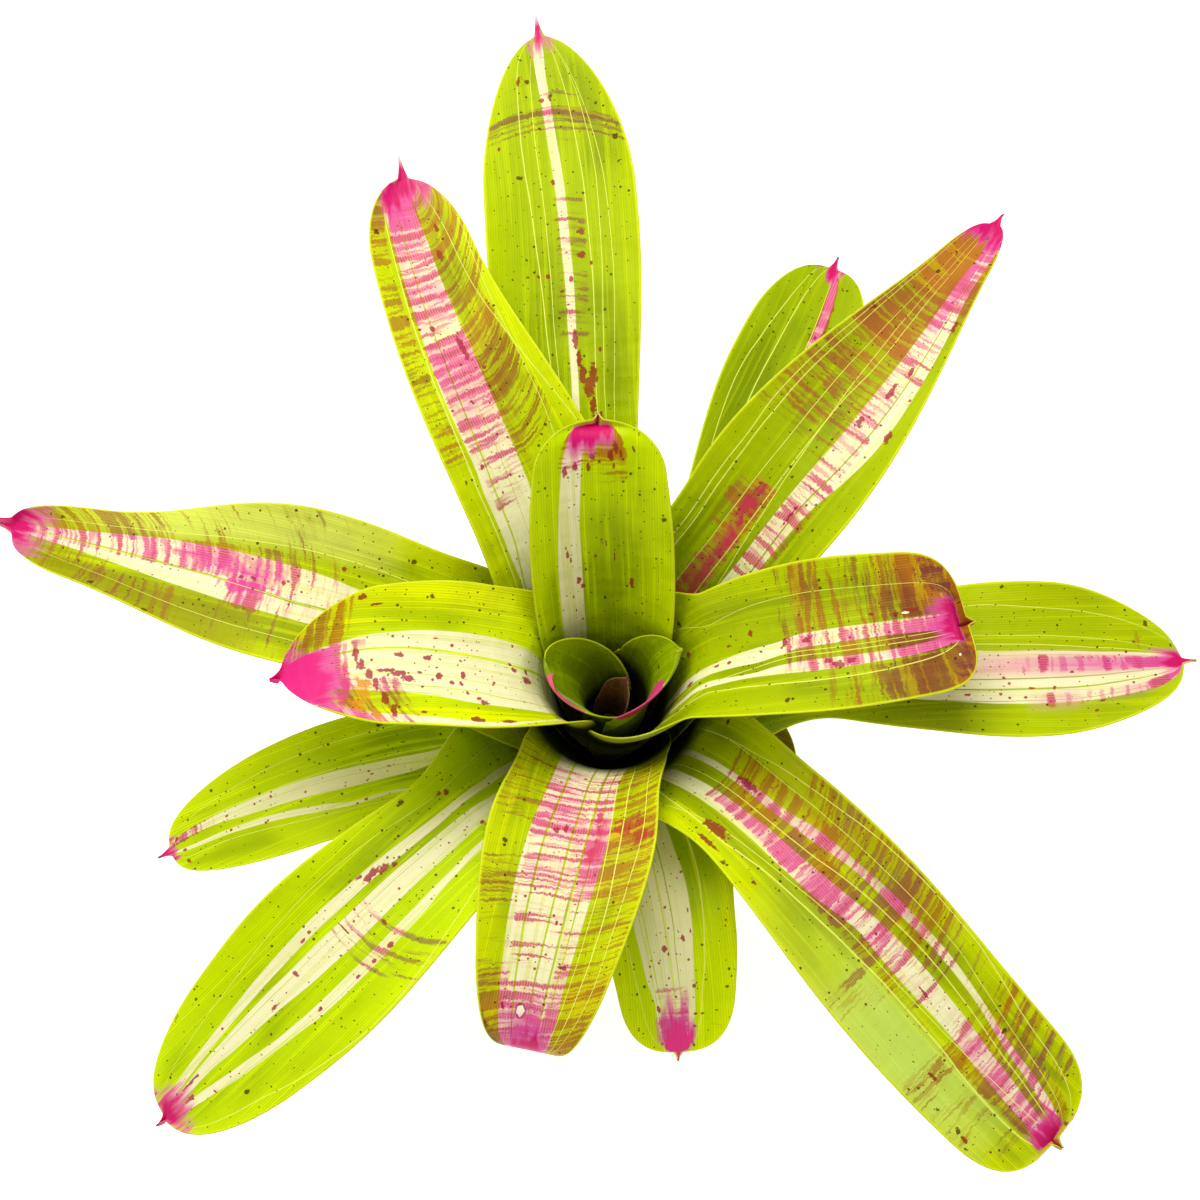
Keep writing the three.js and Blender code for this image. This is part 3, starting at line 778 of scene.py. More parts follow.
grow_leaf(
    "leaf_01_cup_left",
    Leaf(place=1, heading=200, swing=-2, throat=(11.5, 68), rise=86, tip=(25.3, 121), fall=-150,
         reach=(0.6, 0.22), width=46, waist=1, shoulder=1, nose=54.5, blunt=2.6, clasp=150,
         embrace=145, lean=-0.16, channel=(60, 60), spine=1.5, flare=80, opening=300),
    seed=3, greens=("6f8400", "8aa200", "a6bc00"), shade=(35, 25), water=2, freckles=8, spots=0,
    glow=20,
    cream=[[(5, 50, 54), (70, 40, 42)], [(5, 60, 68), (70, 50, 54)]],
    lips=[
        ("c2d010", [(40, 102, 110), (50, 80, 110), (70, 70, 110), (80, 72, 110), (86, 102, 110)]),
        ("e0607c", [(74, 102, 110), (80, 60, 110), (93, 32, 110), (100, -20, 110)]),
    ],
    tip=[(-100, 120), (-10, 105), (5, 96), (30, 93), (60, 97), (80, 110), (100, 120)],
    tip_colour="dc5a72", spine_colour="c07a40",
)
grow_leaf(
    "leaf_02_cup_right",
    Leaf(place=2, heading=6.6, swing=4.4, throat=(18.4, 88.7), rise=85, tip=(32.3, 115.8), fall=39,
         reach=(0.45, 0.3), width=46, waist=1, shoulder=1, nose=40, blunt=1.9, clasp=130,
         embrace=85.5, lean=-0.18, tuck=(0.08, 0.04), channel=(60, 60), spine=1.5, flare=90,
         opening=300),
    seed=4, greens=("748a00", "8fa800", "abc200"), shade=(35, 25), freckles=8, spots=0,
    lips=[
        ("c2d010", [(0, -110, -70), (15, -110, -60), (25, -110, -102)]),
        ("e24a86", [(14, -110, -102), (24, -110, -42), (42, -110, -30), (60, -110, -42),
            (76, -110, -97)]),
    ],
    tip=[(-100, 120), (100, 120)], spine_colour="c8c030",
)


# ---- Inner leaves ----
# Four leaves in their prime, stiff and waxy, with sheaths wrapped round the cup leaves'.
# Their tips curl under, and they have broad cream stripes and the strongest flushes.

grow_leaf(
    "leaf_03_north_inner",
    Leaf(place=3, heading=94, swing=-1, throat=(27.4, 100), rise=78, tip=(82.5, 194), fall=44,
         sway=1.2, width=64, waist=0.9, belly=0.46, shoulder=0.85, nose=23, blunt=2.3, clasp=115,
         embrace=73, channel=(40, 18), hook=150, hook_length=16, lobe=0.5, spine=4),
    seed=5, water=-16, shade=(12, 25), greens=("97ae00", "bed600", "e3f900"),
    cream=[[(-60, 24, 58), (0, 25, 58), (30, 27, 60), (50, 28, 58), (85, 25, 55)]],
    flush=[(-42, 62, [(68, 0), (78, 30), (84, 75), (88, 100)])],
    blots=[(10, 37, 1.2, 1.2), (18, 40, 1, 1.2), (22.5, 27, 1.8, 3), (26, 32, 2, 3), (31, 22, 1, 2),
        (37, 42, 1.2, 2), (40, 46, 1.6, 2), (43, 48, 1, 1.5), (23, -38, 3, 3), (36, -17, 2, 1.2),
        (43, -7, 1.2, 1.2), (37, 8, 0.8, 1.5), (77, 16, 2, 3.5), (78, 35, 1.8, 4), (76, 50, 2, 4.5),
        (82, 10, 1.5, 5), (82, -18, 2.5, 5), (85, -28, 2.5, 5), (77.5, -22, 1.2, 2), (83, -34, 2, 3),
        (85, -57, 1.5, 2)],
    tip=[(-100, 102), (-40, 98), (-25, 90), (0, 88), (30, 86), (55, 88), (66, 97), (100, 102)],
)
grow_leaf(
    "leaf_04_west_inner",
    Leaf(place=4, heading=188.9, swing=-2.6, throat=(29.9, 101), rise=76, tip=(146, 136), fall=-28,
         sway=-1.2, reach=(0.3, 0.36), width=71, waist=1, belly=0.33, shoulder=0.8, nose=44,
         blunt=1.6, clasp=70, embrace=72, lean=-0.1, tuck=(0, 0.28), channel=(40, 14), hook=60,
         hook_length=16, lobe=0.6, spine=6, flare=40),
    seed=6, water=-14, dark_below=6, shade=(10, 15), greens=("b2c500", "d4e800", "fbff00"),
    cream=[
        [(-60, -10, 30), (-10, -15, 38), (0, -22, 50), (10, -30, 58), (20, -34, 60), (30, -37, 59),
            (50, -38, 50), (62, -37, 46), (100, -34, 50)],
        [(-60, 45, 50), (-5, 50, 57), (5, 66, 73), (10, 75, 82), (20, 86, 91), (30, 90, 98),
            (40, 88, 98), (50, 85, 97), (100, 80, 95)],
    ],
    veins=[
        (3, [(-60, -10), (-10, -10), (15, -5), (25, -7), (40, -11), (65, -17), (100, -17)]),
        (1.2, [(-60, 25), (0, 38), (10, 45), (20, 45), (35, 40), (50, 37), (70, 30)]),
        (1, [(-60, 60), (42, 60), (46, 50), (60, 45), (70, 40)]),
        (0.8, [(-60, 10), (20, 26), (50, 20), (70, 10)]),
    ],
    flush=[
        (25, 100, [(56, 0), (60, 35), (63, 60), (70, 50), (75, 85), (80, 100)]),
        (-33, 28, [(64, 0), (72, 30), (75, 50), (78, 100)]),
        (-100, -30, [(72, 0), (77, 55), (85, 50), (93, 80)]),
    ],
    bow=(-4, -8), pitch=0.2,
    blots=[(54.5, 27, 2.5, 5), (57.5, 20, 3, 4), (61, 15, 3, 3), (60, 78, 1.2, 12),
        (62.5, 56, 1.2, 12), (65, 35, 1, 10), (67, 20, 1.4, 8), (69, 5, 1.4, 8), (70.5, -12, 1, 10),
        (11.5, 9, 2, 5), (17, 0, 1.2, 3), (18.5, -6, 0.8, 2), (26, 24, 0.8, 2), (26.5, 88, 2, 4),
        (31, 56, 1.5, 4), (32.5, 50, 1, 3), (35, 86, 2, 5), (36, 43, 0.7, 3), (37.5, 31, 0.8, 3),
        (36.5, 19, 1, 5), (40.5, 30, 1, 2.5), (44.5, 21, 1.2, 4.5), (51, 18, 0.8, 2), (48, -2, 1.2, 4),
        (57, -7, 1.5, 4), (39.5, -20, 0.8, 2), (45, -28, 1, 1.2), (63, -76, 2, 2), (67, -90, 1.5, 4),
        (51, 78, 0.8, 2.5)],
    dabs=[
        ("d98a1c", [(69, 45, 3, 20), (72, 75, 3, 15), (66, 85, 2, 8)]),
        ("d2306c", [(74.5, 30, 1.2, 35), (76, 70, 1.2, 20)]),
    ],
    tip=[(-100, 93), (-40, 90), (-30, 82), (0, 80), (50, 79), (80, 82), (100, 86)],
    tip_colour="e2247e", spine_colour="d8206c",
)
grow_leaf(
    "leaf_05_east_inner",
    Leaf(place=5, heading=-4.5, swing=8.6, throat=(32, 100), rise=74, tip=(158, 138), fall=-22,
         sway=-1.2, reach=(0.34, 0.36), width=73, waist=0.84, belly=0.53, shoulder=0.88, nose=29,
         blunt=2.95, clasp=112, embrace=98, lean=-0.1, tuck=(0.22, 0), channel=(40, 16), hook=120,
         hook_length=16, lobe=0.8, spine=5, flare=28),
    seed=7, water=-12, dark_below=3, shade=(15, 30), greens=("879900", "a6b800", "c6d600"),
    cream=[
        [(-60, -10, -5), (10, -13, -4), (20, -16, -1), (30, -16, 4), (40, -10, 8), (45, -5, 12),
            (60, -4, 14), (80, -6, 13), (90, -10, 13)],
        [(-60, -24, -20), (10, -28, -22), (20, -37, -28), (30, -36, -30), (40, -36, -24),
            (50, -37, -22), (70, -37, -24), (90, -33, -20)],
    ],
    threads=[
        (1.4, [(-20, -30), (10, -40), (20, -47), (40, -50), (60, -51), (80, -46), (88, -40),
            (93, -28)]),
        (0.8, [(30, -12), (45, -9), (60, -10), (90, -10)]),
        (1, [(30, -24), (45, -15), (60, -16), (90, -17)]),
        (0.6, [(10, 50), (40, 62), (70, 60)]),
    ],
    flush=[
        (13, 100, [(39.5, 0), (41, 55), (42.5, 15), (44, 50), (47, 70), (49, 55), (50, 25),
            (51.5, 60), (53, 50), (55, 15), (60, 35), (63, 40), (66, 35), (70, 45), (72, 70),
            (76, 50), (78, 90), (85, 85), (92, 100)]),
        (-38, 13, [(40, 5), (45, 60), (48, 70), (53, 40), (57, 25), (60, 75), (63, 65), (65, 35),
            (69, 50), (71, 80), (78, 95), (90, 100)]),
        (-100, -38, [(50, 0), (55, 15), (60, 35), (66, 30), (70, 65), (73, 60), (78, 85), (92, 90)]),
    ],
    spine_colour="cc1a68", spine_from=96.5,
    blots=[(6, 20, 1.2, 3.5), (31, 26, 0.8, 4), (23.5, 17, 0.7, 2), (2, 20, 1, 1.2),
        (7.5, -11.5, 1.8, 2), (19, -7, 1.2, 2.5), (23.5, -7, 0.8, 3), (41.5, 5, 0.8, 5),
        (48, 5, 1.2, 4.5), (56.5, -33, 2, 5), (54, -26, 1.2, 4), (60, -30, 1.2, 4), (68, 25, 1.2, 2),
        (80, 24, 2, 4), (75, 22, 1.5, 2)],
    scars=[(78, 21.5, 1.4, 1.8), (90.3, -55, 0.5, 3)],
    hold=80, gold="cc9414", rust="a4481c", maroon="72302a",
    tip=[(-100, 110), (-62, 102), (-40, 95), (-20, 89), (0, 88), (30, 90), (50, 96), (70, 104),
        (100, 110)],
    dabs=[("7a3832", [(90, 72, 6, 25), (95, 45, 3, 20), (92, -70, 5, 25)])],
)
grow_leaf(
    "leaf_07_south_inner",
    Leaf(place=7, heading=-101, swing=-0.7, throat=(39.5, 86), rise=62, tip=(183, 84), fall=-46,
         width=74, belly=0.34, shoulder=0.6, nose=45.5, blunt=2.3, clasp=110, embrace=50,
         channel=(34, 12), hook=110, hook_length=30, spine=5, flare=40),
    seed=8, shade=(5, 30), greens=("97a900", "bccf00", "e3eb00"),
    cream=[[(-60, -42, 44), (0, -43, 44), (10, -44, 42), (30, -49, 42), (50, -56, 38), (70, -61, 37),
        (80, -64, 40), (95, -75, 50)]],
    veins=[
        (2.6, [(-60, 8), (0, 6), (30, 0), (50, -4), (80, -11)]),
        (3, [(-20, 24), (10, 22), (30, 18), (50, 14), (80, 12)]),
        (2.6, [(-20, -20), (10, -24), (30, -30), (50, -35), (80, -40)]),
        (1.8, [(10, 33), (35, 28), (60, 25), (80, 25)]),
    ],
    threads=[
        (1.4, [(-10, 50), (10, 58), (30, 57), (60, 62), (90, 56)]),
        (1, [(-10, 70), (5, 80), (20, 83), (50, 78), (70, 80), (90, 68)]),
        (1, [(30, 43), (50, 45), (60, 45), (90, 42)]),
    ],
    flush=[
        (-50, 16, [(0, 0), (6, 35), (15, 50), (25, 60), (30, 75), (33, 70), (36, 40), (42, 60),
            (48, 45), (50, 20), (55, 30), (60, 15), (68, 25), (70, 10), (73, 50), (80, 80), (90, 100)]),
        (16, 43, [(0, 10), (10, 45), (20, 60), (30, 85), (40, 90), (47, 60), (50, 20), (60, 25),
            (65, 40), (70, 60), (75, 50), (80, 85), (90, 100)]),
        (40, 100, [(2, 35), (15, 42), (22, 45), (28, 60), (30, 80), (34, 80), (36, 60), (45, 58),
            (50, 42), (60, 42), (70, 55), (88, 65)]),
        (-100, -48, [(2, 25), (20, 35), (26, 35), (30, 10), (40, 20), (45, 50), (50, 40), (55, 10),
            (66, 10), (70, 60), (80, 65), (90, 90)]),
    ],
    bow=(3, -6), pitch=0.42,
    blots=[(30, -9, 1.4, 3), (31, -20, 1, 4), (10, 42, 1, 2), (67, 30, 1, 4), (56, 5, 0.6, 2),
        (79.5, -57, 1, 3)],
    scars=[(80, -25, 1.6, 7.5)],
    dabs=[
        ("cf2a60", [(30, 33, 5, 7), (36, 30, 4, 9), (25, 27, 3, 5)]),
        ("b23a2c", [(27, 62, 3, 16), (30, 80, 2.5, 16), (25, 75, 2, 14)]),
        ("6e2a2a", [(93, -95, 9, 14), (86, -100, 5, 10)]),
    ],
    hold=70, gold="e2ae14", rust="a44a20", maroon="862e28",
    tip=[(-100, 110), (-60, 96), (-40, 90), (-10, 86), (30, 90), (50, 100), (100, 110)],
    blush=10,
)


# ---- Long outer leaves ----
# Mature leathery leaves that arch out and down from sheaths lower on the stem, and have
# spined or notched magenta tips. Their margins wave slightly, and old cross-bands and
# freckles have built up on them.

grow_leaf(
    "leaf_06_northwest",
    Leaf(place=6, heading=110.6, swing=2.2, throat=(36, 95), rise=68, tip=(238.5, 166), fall=7,
         sway=4.6, width=69, waist=0.95, belly=0.2, shoulder=0.6, nose=35, blunt=2.05, clasp=110,
         embrace=60, channel=(34, 14), wave=(1.5, 1.5, 0.5), spine=11),
    seed=9, greens=("96a800", "bccf00", "e6f400"),
    cream=[[(-20, 30, 62), (10, 20, 62), (20, 10, 64), (30, 2, 64), (36, -1, 60), (50, -10, 58),
        (60, -15, 54), (70, -16, 50), (80, -16, 50), (85, -12, 55), (90, -10, 70), (95, -10, 90)]],
    veins=[
        (2.2, [(-20, 70), (15, 57), (20, 52), (30, 48), (40, 42), (50, 36), (60, 32), (80, 28),
            (88, 33), (93, 40)]),
        (0.6, [(20, 30), (50, 15), (80, 10)]),
    ],
    threads=[
        (2, [(-10, 70), (20, 70), (30, 70), (38, 67), (50, 63), (60, 60), (80, 56.5), (86, 62),
            (92, 75)]),
        (1.2, [(60, -72), (70, -64), (80, -60), (90, -52)]),
        (0.8, [(30, -50), (50, -72), (60, -78)]),
    ],
    flush=[
        (-16, 56, [(26, 15), (33, 35), (38, 50), (45, 55), (50, 75), (55, 90), (61, 85), (61.5, 10),
            (63, 20), (64, 60), (70, 65), (78, 60), (82, 70), (86, 100)]),
        (64, 100, [(34, 0), (37, 35), (50, 40), (60, 45), (70, 50), (78, 30), (82, 60), (90, 60)]),
        (-74, -12, [(32, 0), (36, 40), (45, 45), (50, 55), (55, 65), (60, 60), (68, 40), (76, 45),
            (90, 70)]),
        (-100, -60, [(62, 0), (65, 50), (70, 50), (75, 40), (85, 50), (92, 85)]),
    ],
    bow=(10, 0),
    blots=[(58.5, -2, 3, 5), (64, 30, 0.8, 5), (78, -30, 1.3, 6), (83.5, -42, 1, 4), (53, -18, 0.4, 3),
        (36, 50, 0.6, 3)],
    hold=65, gold="cc9626", rust="a85020",
    tip=[(-100, 96), (-60, 94), (-20, 93), (10, 91), (40, 90), (70, 92), (100, 95)],
    spine_colour="f2d8cf", spine_from=97,
)
grow_leaf(
    "leaf_08_northeast",
    Leaf(place=8, heading=42, swing=7.6, throat=(42, 84), rise=55, tip=(270, 138), fall=-14, width=74,
         belly=0.33, shoulder=0.26, nose=26, blunt=2.2, clasp=105, embrace=55, channel=(32, 30),
         wave=(1.5, 1.3, 0), spine=7),
    seed=10, greens=("7f9100", "a0b300", "bccd00"),
    cream=[[(-20, -40, -10), (10, -42, -10), (20, -43, -13), (30, -44, -12), (40, -58, -14),
        (50, -72, -17), (60, -77, -20), (70, -78, -22), (80, -74, -22), (93, -94, -36)]],
    veins=[(2, [(0, -38), (20, -35), (30, -33), (40, -40), (50, -49), (60, -54.5), (80, -56),
        (90, -66)])],
    threads=[
        (1.4, [(5, 60), (15, 65), (30, 65), (40, 68), (50, 74), (60, 77), (70, 82), (78, 85)]),
        (1.4, [(5, 68), (15, 75), (35, 74), (45, 82), (55, 86), (65, 90), (78, 94)]),
        (0.9, [(5, 36), (35, 33), (50, 38), (60, 42), (72, 46)]),
        (1.2, [(5, 10), (20, 7), (30, 8), (50, 12), (60, 8), (80, 14), (93, 13)]),
        (1, [(60, 20), (70, 26), (80, 30), (90, 30)]),
    ],
    flush=[
        (-22, 100, [(40, 0), (43, 30), (50, 40), (60, 45), (63.5, 50), (64.5, 85), (68, 80), (72, 60),
            (76, 70), (80, 95), (93, 100)]),
        (-100, -70, [(70, 0), (75, 60), (80, 50), (93, 90)]),
        (2, 35, [(2, 70), (10, 55), (18, 50), (21, 80), (31, 85), (33, 0)]),
        (30, 52, [(20, 0), (22, 50), (30, 40), (32, 0)]),
        (-53, -12, [(15, 20), (20, 40), (30, 42), (45, 35), (50, 50), (63, 40), (70, 55), (73, 90),
            (95, 100)]),
        (-78, -52, [(50, 5), (60, 20), (72, 50), (80, 60), (93, 90)]),
    ],
    blots=[(50, -26, 1.2, 5), (57.5, -38, 1.8, 5), (62.5, -47, 1, 4), (50.5, -74, 1.2, 5),
        (73.5, -80, 1.2, 6), (68, 88, 0.6, 4), (30, -29, 2, 2)],
    dabs=[
        ("a8203e", [(26.5, 22, 4.5, 10), (30, 20, 2, 6)]),
        ("c8364c", [(4, 15, 7, 22), (12, 20, 6, 18), (19, 16, 4, 13), (26, 22, 3.5, 9)]),
    ],
    hold=60, gold="d28c22", rust="b4542a", maroon="a03e2c",
    tip=[(-100, 93), (-50, 93), (0, 93.5), (50, 93.5), (100, 94)],
    blush=3,
)
grow_leaf(
    "leaf_09_west_outer",
    Leaf(place=9, heading=168.2, swing=-2.9, throat=(44, 81), rise=50, tip=(277.5, 107), fall=-16,
         late=4, width=77, waist=0.82, belly=0.34, shoulder=0.36, nose=37.5, blunt=2.35, clasp=100,
         embrace=52, channel=(30, 14), wave=(4, 2.2, 0.15), spine=8),
    seed=11, greens=("8e9b00", "b3c200", "d9e600"),
    cream=[[(-20, -10, 30), (28, -18, 36), (40, -27, 36), (50, -33, 36), (60, -40, 33), (70, -45, 26),
        (80, -42, 16), (88, -35, 10), (95, -30, 12)]],
    veins=[(3.5, [(20, 14), (40, 14), (50, 10), (60, 3), (70, -3), (80, -10), (88, -12), (94, -6)])],
    threads=[
        (0.8, [(33, 17), (50, 10), (70, -3), (90, -12)]),
        (1, [(30, -50), (60, -55), (75, -60), (90, -62)]),
        (0.8, [(30, 62), (60, 66), (80, 55)]),
    ],
    flush=[
        (-46, 2, [(30, 10), (42, 30), (45, 30), (47, 60), (62, 70), (64, 70), (65.5, 10), (66.5, 80),
            (68, 10), (69, 90), (71.5, 60), (73, 20), (75, 60), (78, 20), (80, 60), (90, 55),
            (94, 90)]),
        (0, 42, [(30, 12), (42, 25), (48, 35), (49.5, 85), (53, 85), (55, 5), (65, 2), (75, 10),
            (93, 60)]),
        (36, 100, [(38, 10), (45, 22), (55, 20), (60, 18), (66, 40), (68, 12), (75, 30), (78, 50),
            (82, 20), (92, 40)]),
        (-100, -35, [(33, 10), (44, 30), (46, 15), (55, 20), (62, 10), (67, 45), (70, 65), (73, 70),
            (77, 60), (80, 35), (88, 60), (93, 60)]),
    ],
    bow=(6, 0),
    bloom=[
        ("eef278", -120, -50, [(25, 0), (40, 45), (60, 50), (80, 20), (95, 0)]),
        ("8a8400", 40, 120, [(45, 0), (60, 70), (80, 70), (95, 30)]),
    ],
    blots=[(28, -14, 0.6, 3), (45.5, -7, 0.4, 3), (36, -40, 0.4, 3)],
    dabs=[("dc3492", [(50, -10, 5, 24), (53, 10, 3, 14), (56.5, -20, 5, 12), (63, -25, 4, 7)])],
    hold=30, rust="a06418", maroon="8f4a30", spots=30,
    tip=[(-100, 95), (-50, 93.5), (0, 93), (50, 94), (100, 95.5)],
)
grow_leaf(
    "leaf_10_southeast",
    Leaf(place=10, heading=-45, swing=-1.1, throat=(47, 79), rise=50, tip=(277.5, 60), fall=-18,
         sway=-1.9, width=73, waist=0.72, belly=0.54, shoulder=0.89, nose=36, blunt=2.8, clasp=95,
         embrace=43, channel=(30, 10), hook=60, hook_length=14, lobe=0.9, wave=(2, 1.5, 0.6), spine=5),
    seed=12, shade=(10, 10), greens=("99aa00", "bccf00", "e3ed00"),
    cream=[
        [(-20, 12, 20), (10, 14, 23), (20, 17, 30), (25, 20, 33), (30, 25, 42), (35, 33, 47),
            (40, 40, 50), (50, 45, 57), (60, 50, 60), (70, 48, 56), (80, 38, 47), (95, 22, 36)],
        [(-20, -34, -15), (5, -34, -12), (15, -36, -10), (20, -35, -8), (25, -32, -3), (30, -29, 0),
            (35, -24, 5), (40, -18, 10), (45, -10, 16), (50, -5, 22), (60, -5, 27), (70, -3, 26),
            (80, -7, 20), (90, -12, 12), (97, -15, 5)],
    ],
    threads=[
        (1.3, [(10, 0), (20, 3), (30, 10), (40, 24), (50, 34), (60, 39), (70, 37), (80, 30), (95, 17)]),
        (2, [(0, -50), (10, -62), (20, -68), (25, -60), (30, -50), (40, -37), (50, -28), (60, -22),
            (70, -22), (80, -28), (95, -35)]),
        (1, [(20, -53), (35, -30), (42, -20), (50, -13), (60, -10)]),
        (1.2, [(-5, 50), (10, 60), (20, 75), (30, 82), (40, 90), (50, 94), (60, 95), (70, 90),
            (80, 80), (95, 72)]),
        (0.8, [(40, 66), (60, 72), (70, 66), (90, 50)]),
    ],
    flush=[
        (-26, 27, [(10, 5), (14, 60), (18, 80), (24, 95), (27, 60), (28, 95), (33, 100), (34, 40),
            (36, 80), (43, 85), (46, 60), (49, 20), (50, 70), (53, 60), (55, 30), (57, 60), (60, 30),
            (70, 20), (74, 50), (77, 80), (80, 50), (83, 90), (87, 50), (90, 80), (96, 100)]),
        (16, 60, [(10, 0), (12, 60), (20, 80), (25, 50), (30, 70), (33, 80), (36, 50), (50, 50),
            (60, 30), (65, 10), (73, 10), (76, 60), (90, 60)]),
        (30, 100, [(25, 0), (28, 45), (33, 50), (38, 55), (42, 40), (47, 50), (52, 80), (53, 50),
            (58, 50), (62, 25), (67, 10), (75, 20), (78, 90), (79, 15), (81, 85), (82, 15),
            (84.5, 85), (86, 10), (88, 80), (89.5, 10), (91, 40), (95, 20)]),
        (-100, -30, [(50, 5), (55, 30), (58, 35), (60, 5), (70, 5), (74, 45), (76, 40), (78, 5),
            (80, 30), (83, 10), (86, 45), (88, 15), (95, 10)]),
    ],
    bloom=[
        ("c8e472", -120, -26, [(30, 0), (50, 20), (58, 55), (70, 60), (84, 40), (92, 0)]),
        ("988c00", 45, 120, [(15, 0), (30, 60), (45, 60), (60, 0)]),
    ],
    bow=(0, -4),
    blots=[(19, -60, 3, 10), (20, -85, 2.5, 4), (31, -72, 0.4, 2), (64, 7, 1.5, 1.5), (16, 24, 3, 5),
        (86, -85, 0.8, 3), (75, -55, 1.2, 3)],
    hold=55, spine_colour="cc1a68", spine_from=96.5, rust="a04e18", maroon="8a3a3c",
    tip=[(-100, 110), (-55, 102), (-28, 96.5), (-10, 94.5), (15, 94.5), (35, 96.5), (55, 102),
        (100, 110)],
    blush=3,
)
grow_leaf(
    "leaf_11_north_outer",
    Leaf(place=11, heading=102.6, swing=-6.4, throat=(49, 76), rise=48, tip=(308, 142), fall=3,
         sway=-2.9, width=69.5, waist=0.74, belly=0.58, nose=78, blunt=1.85, clasp=95, embrace=48,
         channel=(28, 12), wave=(2, 1.4, 0.2), spine=11),
    seed=13, greens=("869900", "a4ba00", "c6da00"),
    cream=[[(-20, -15, -5), (36, -13, -3), (45, -12, -1), (60, -9, 3), (70, -6, 7), (80, -2, 12),
        (88, 0, 20), (94, -5, 35)]],
    threads=[
        (1.4, [(30, 22), (45, 28), (60, 36), (75, 47), (85, 57), (93, 75)]),
        (0.9, [(30, 12), (45, 17), (60, 20), (75, 27), (90, 35)]),
        (0.9, [(20, -55), (45, -48), (60, -49), (80, -50)]),
        (1.2, [(20, -42), (35, -38), (50, -36), (60, -34), (80, -31), (93, -33)]),
        (0.8, [(30, -64), (60, -62), (75, -58)]),
    ],
    flush=[
        (-100, 100, [(76, 0), (78.3, 10), (79, 75), (79.7, 10), (80.3, 75), (81, 15), (81.7, 85),
            (82.4, 75), (83.2, 5), (84.5, 5), (85, 35), (85.6, 2), (87.5, 2), (88, 30), (88.7, 0)]),
        (-30, 10, [(40, 15), (45, 30), (62, 30), (70, 5), (80, 10), (90, 20)]),
    ],
    bow=(-4.5, -3),
    blots=[(28, -42, 1.5, 7), (31, -33, 1.5, 5), (34, -28, 2, 7), (36, -20, 2, 5), (36, -34, 2, 6),
        (38.5, -15, 1.5, 4), (42, -10, 1.8, 3.5), (69, 8, 0.7, 3), (52.5, 22, 0.4, 3),
        (52.5, 35, 0.3, 3), (56, -22, 0.7, 5), (60, -24, 0.5, 6), (54.5, -35, 0.4, 2), (50, 4, 0.3, 4),
        (52, -8, 0.5, 3), (40, -44, 0.5, 2), (88, 60, 0.8, 4), (84, 14, 0.4, 6), (75.5, 80, 0.4, 2)],
    rust="82492e", maroon="783a34",
    tip=[(-100, 98.5), (-50, 97), (-10, 95), (20, 94.5), (50, 96.5), (100, 98.5)],
    blush=3.5, feather=1.2, spine_colour="f4d5de", spine_from=97.5,
)
grow_leaf(
    "leaf_12_southwest",
    Leaf(place=12, heading=-130, swing=-5.8, throat=(51, 72), rise=46, tip=(269.5, 54), fall=-21,
         sway=-0.4, width=75, waist=0.68, belly=0.55, shoulder=0.74, nose=52.5, blunt=2.3, clasp=95,
         embrace=50, channel=(28, 10), hook=50, hook_length=14, lobe=0.9, wave=(2, 1.6, 0.3), spine=5),
    seed=14, shade=(20, 35), greens=("9db400", "bed900", "dff700"),
    cream=[
        [(-20, 20, 26), (20, 28, 38), (30, 30, 40), (40, 31, 45), (60, 31, 45), (70, 30, 41),
            (80, 22, 36), (93, 10, 27)],
        [(-20, -10, 0), (10, -12, 2), (17, -18, 8), (30, -21, 10), (50, -21, 10), (60, -21, 8),
            (70, -22, 3), (80, -21, 0), (85, -20, -3), (93, -15, 0)],
        [(-20, -30, -20), (8, -33, -24), (20, -42, -31), (30, -45, -31), (50, -46, -32),
            (70, -43, -30), (80, -38, -27), (93, -34, -20)],
    ],
    veins=[
        (0.6, [(10, -8), (20, -12), (50, -13), (80, -16)]),
        (0.8, [(20, 36), (40, 42), (60, 42), (75, 36)]),
    ],
    threads=[
        (1.2, [(20, 68), (28, 76), (35, 85), (45, 93), (55, 97), (65, 94), (75, 87), (85, 77),
            (94, 77)]),
        (0.6, [(10, -60), (40, -72), (80, -60)]),
    ],
    flush=[(-22, 100, [(43, 0), (44.3, 60), (45, 5), (46.2, 5), (46.8, 55), (47.7, 5), (48.7, 50),
        (50, 10), (52, 25), (54, 0)])],
    bow=(0, -5.5),
    blots=[(35.2, -28, 0.6, 3), (37.2, -33, 1.2, 4.5), (39.5, -37, 2, 5.5), (41.6, -44, 0.7, 2.5),
        (18.5, -58, 0.8, 3.5), (20, -64, 0.7, 2.5), (46, 42, 1, 3), (50, 42, 0.4, 3), (54, 41, 0.6, 2),
        (63, 38, 0.6, 2), (69, -3, 1, 2), (57, -35, 0.6, 2), (55, -37, 0.4, 2), (44, 16, 0.4, 5),
        (50, -10, 0.2, 10), (62, -14, 0.4, 5), (92, 9, 1.1, 4.5), (17.5, 6, 0.6, 2.5),
        (90.5, -13, 3, 3)],
    rust="8a5a3c", maroon="7a4048",
    tip=[(-100, 98), (-60, 97), (-35, 94), (-20, 93.5), (20, 94.5), (50, 96), (100, 98)],
    blush=3, feather=1.2,
)
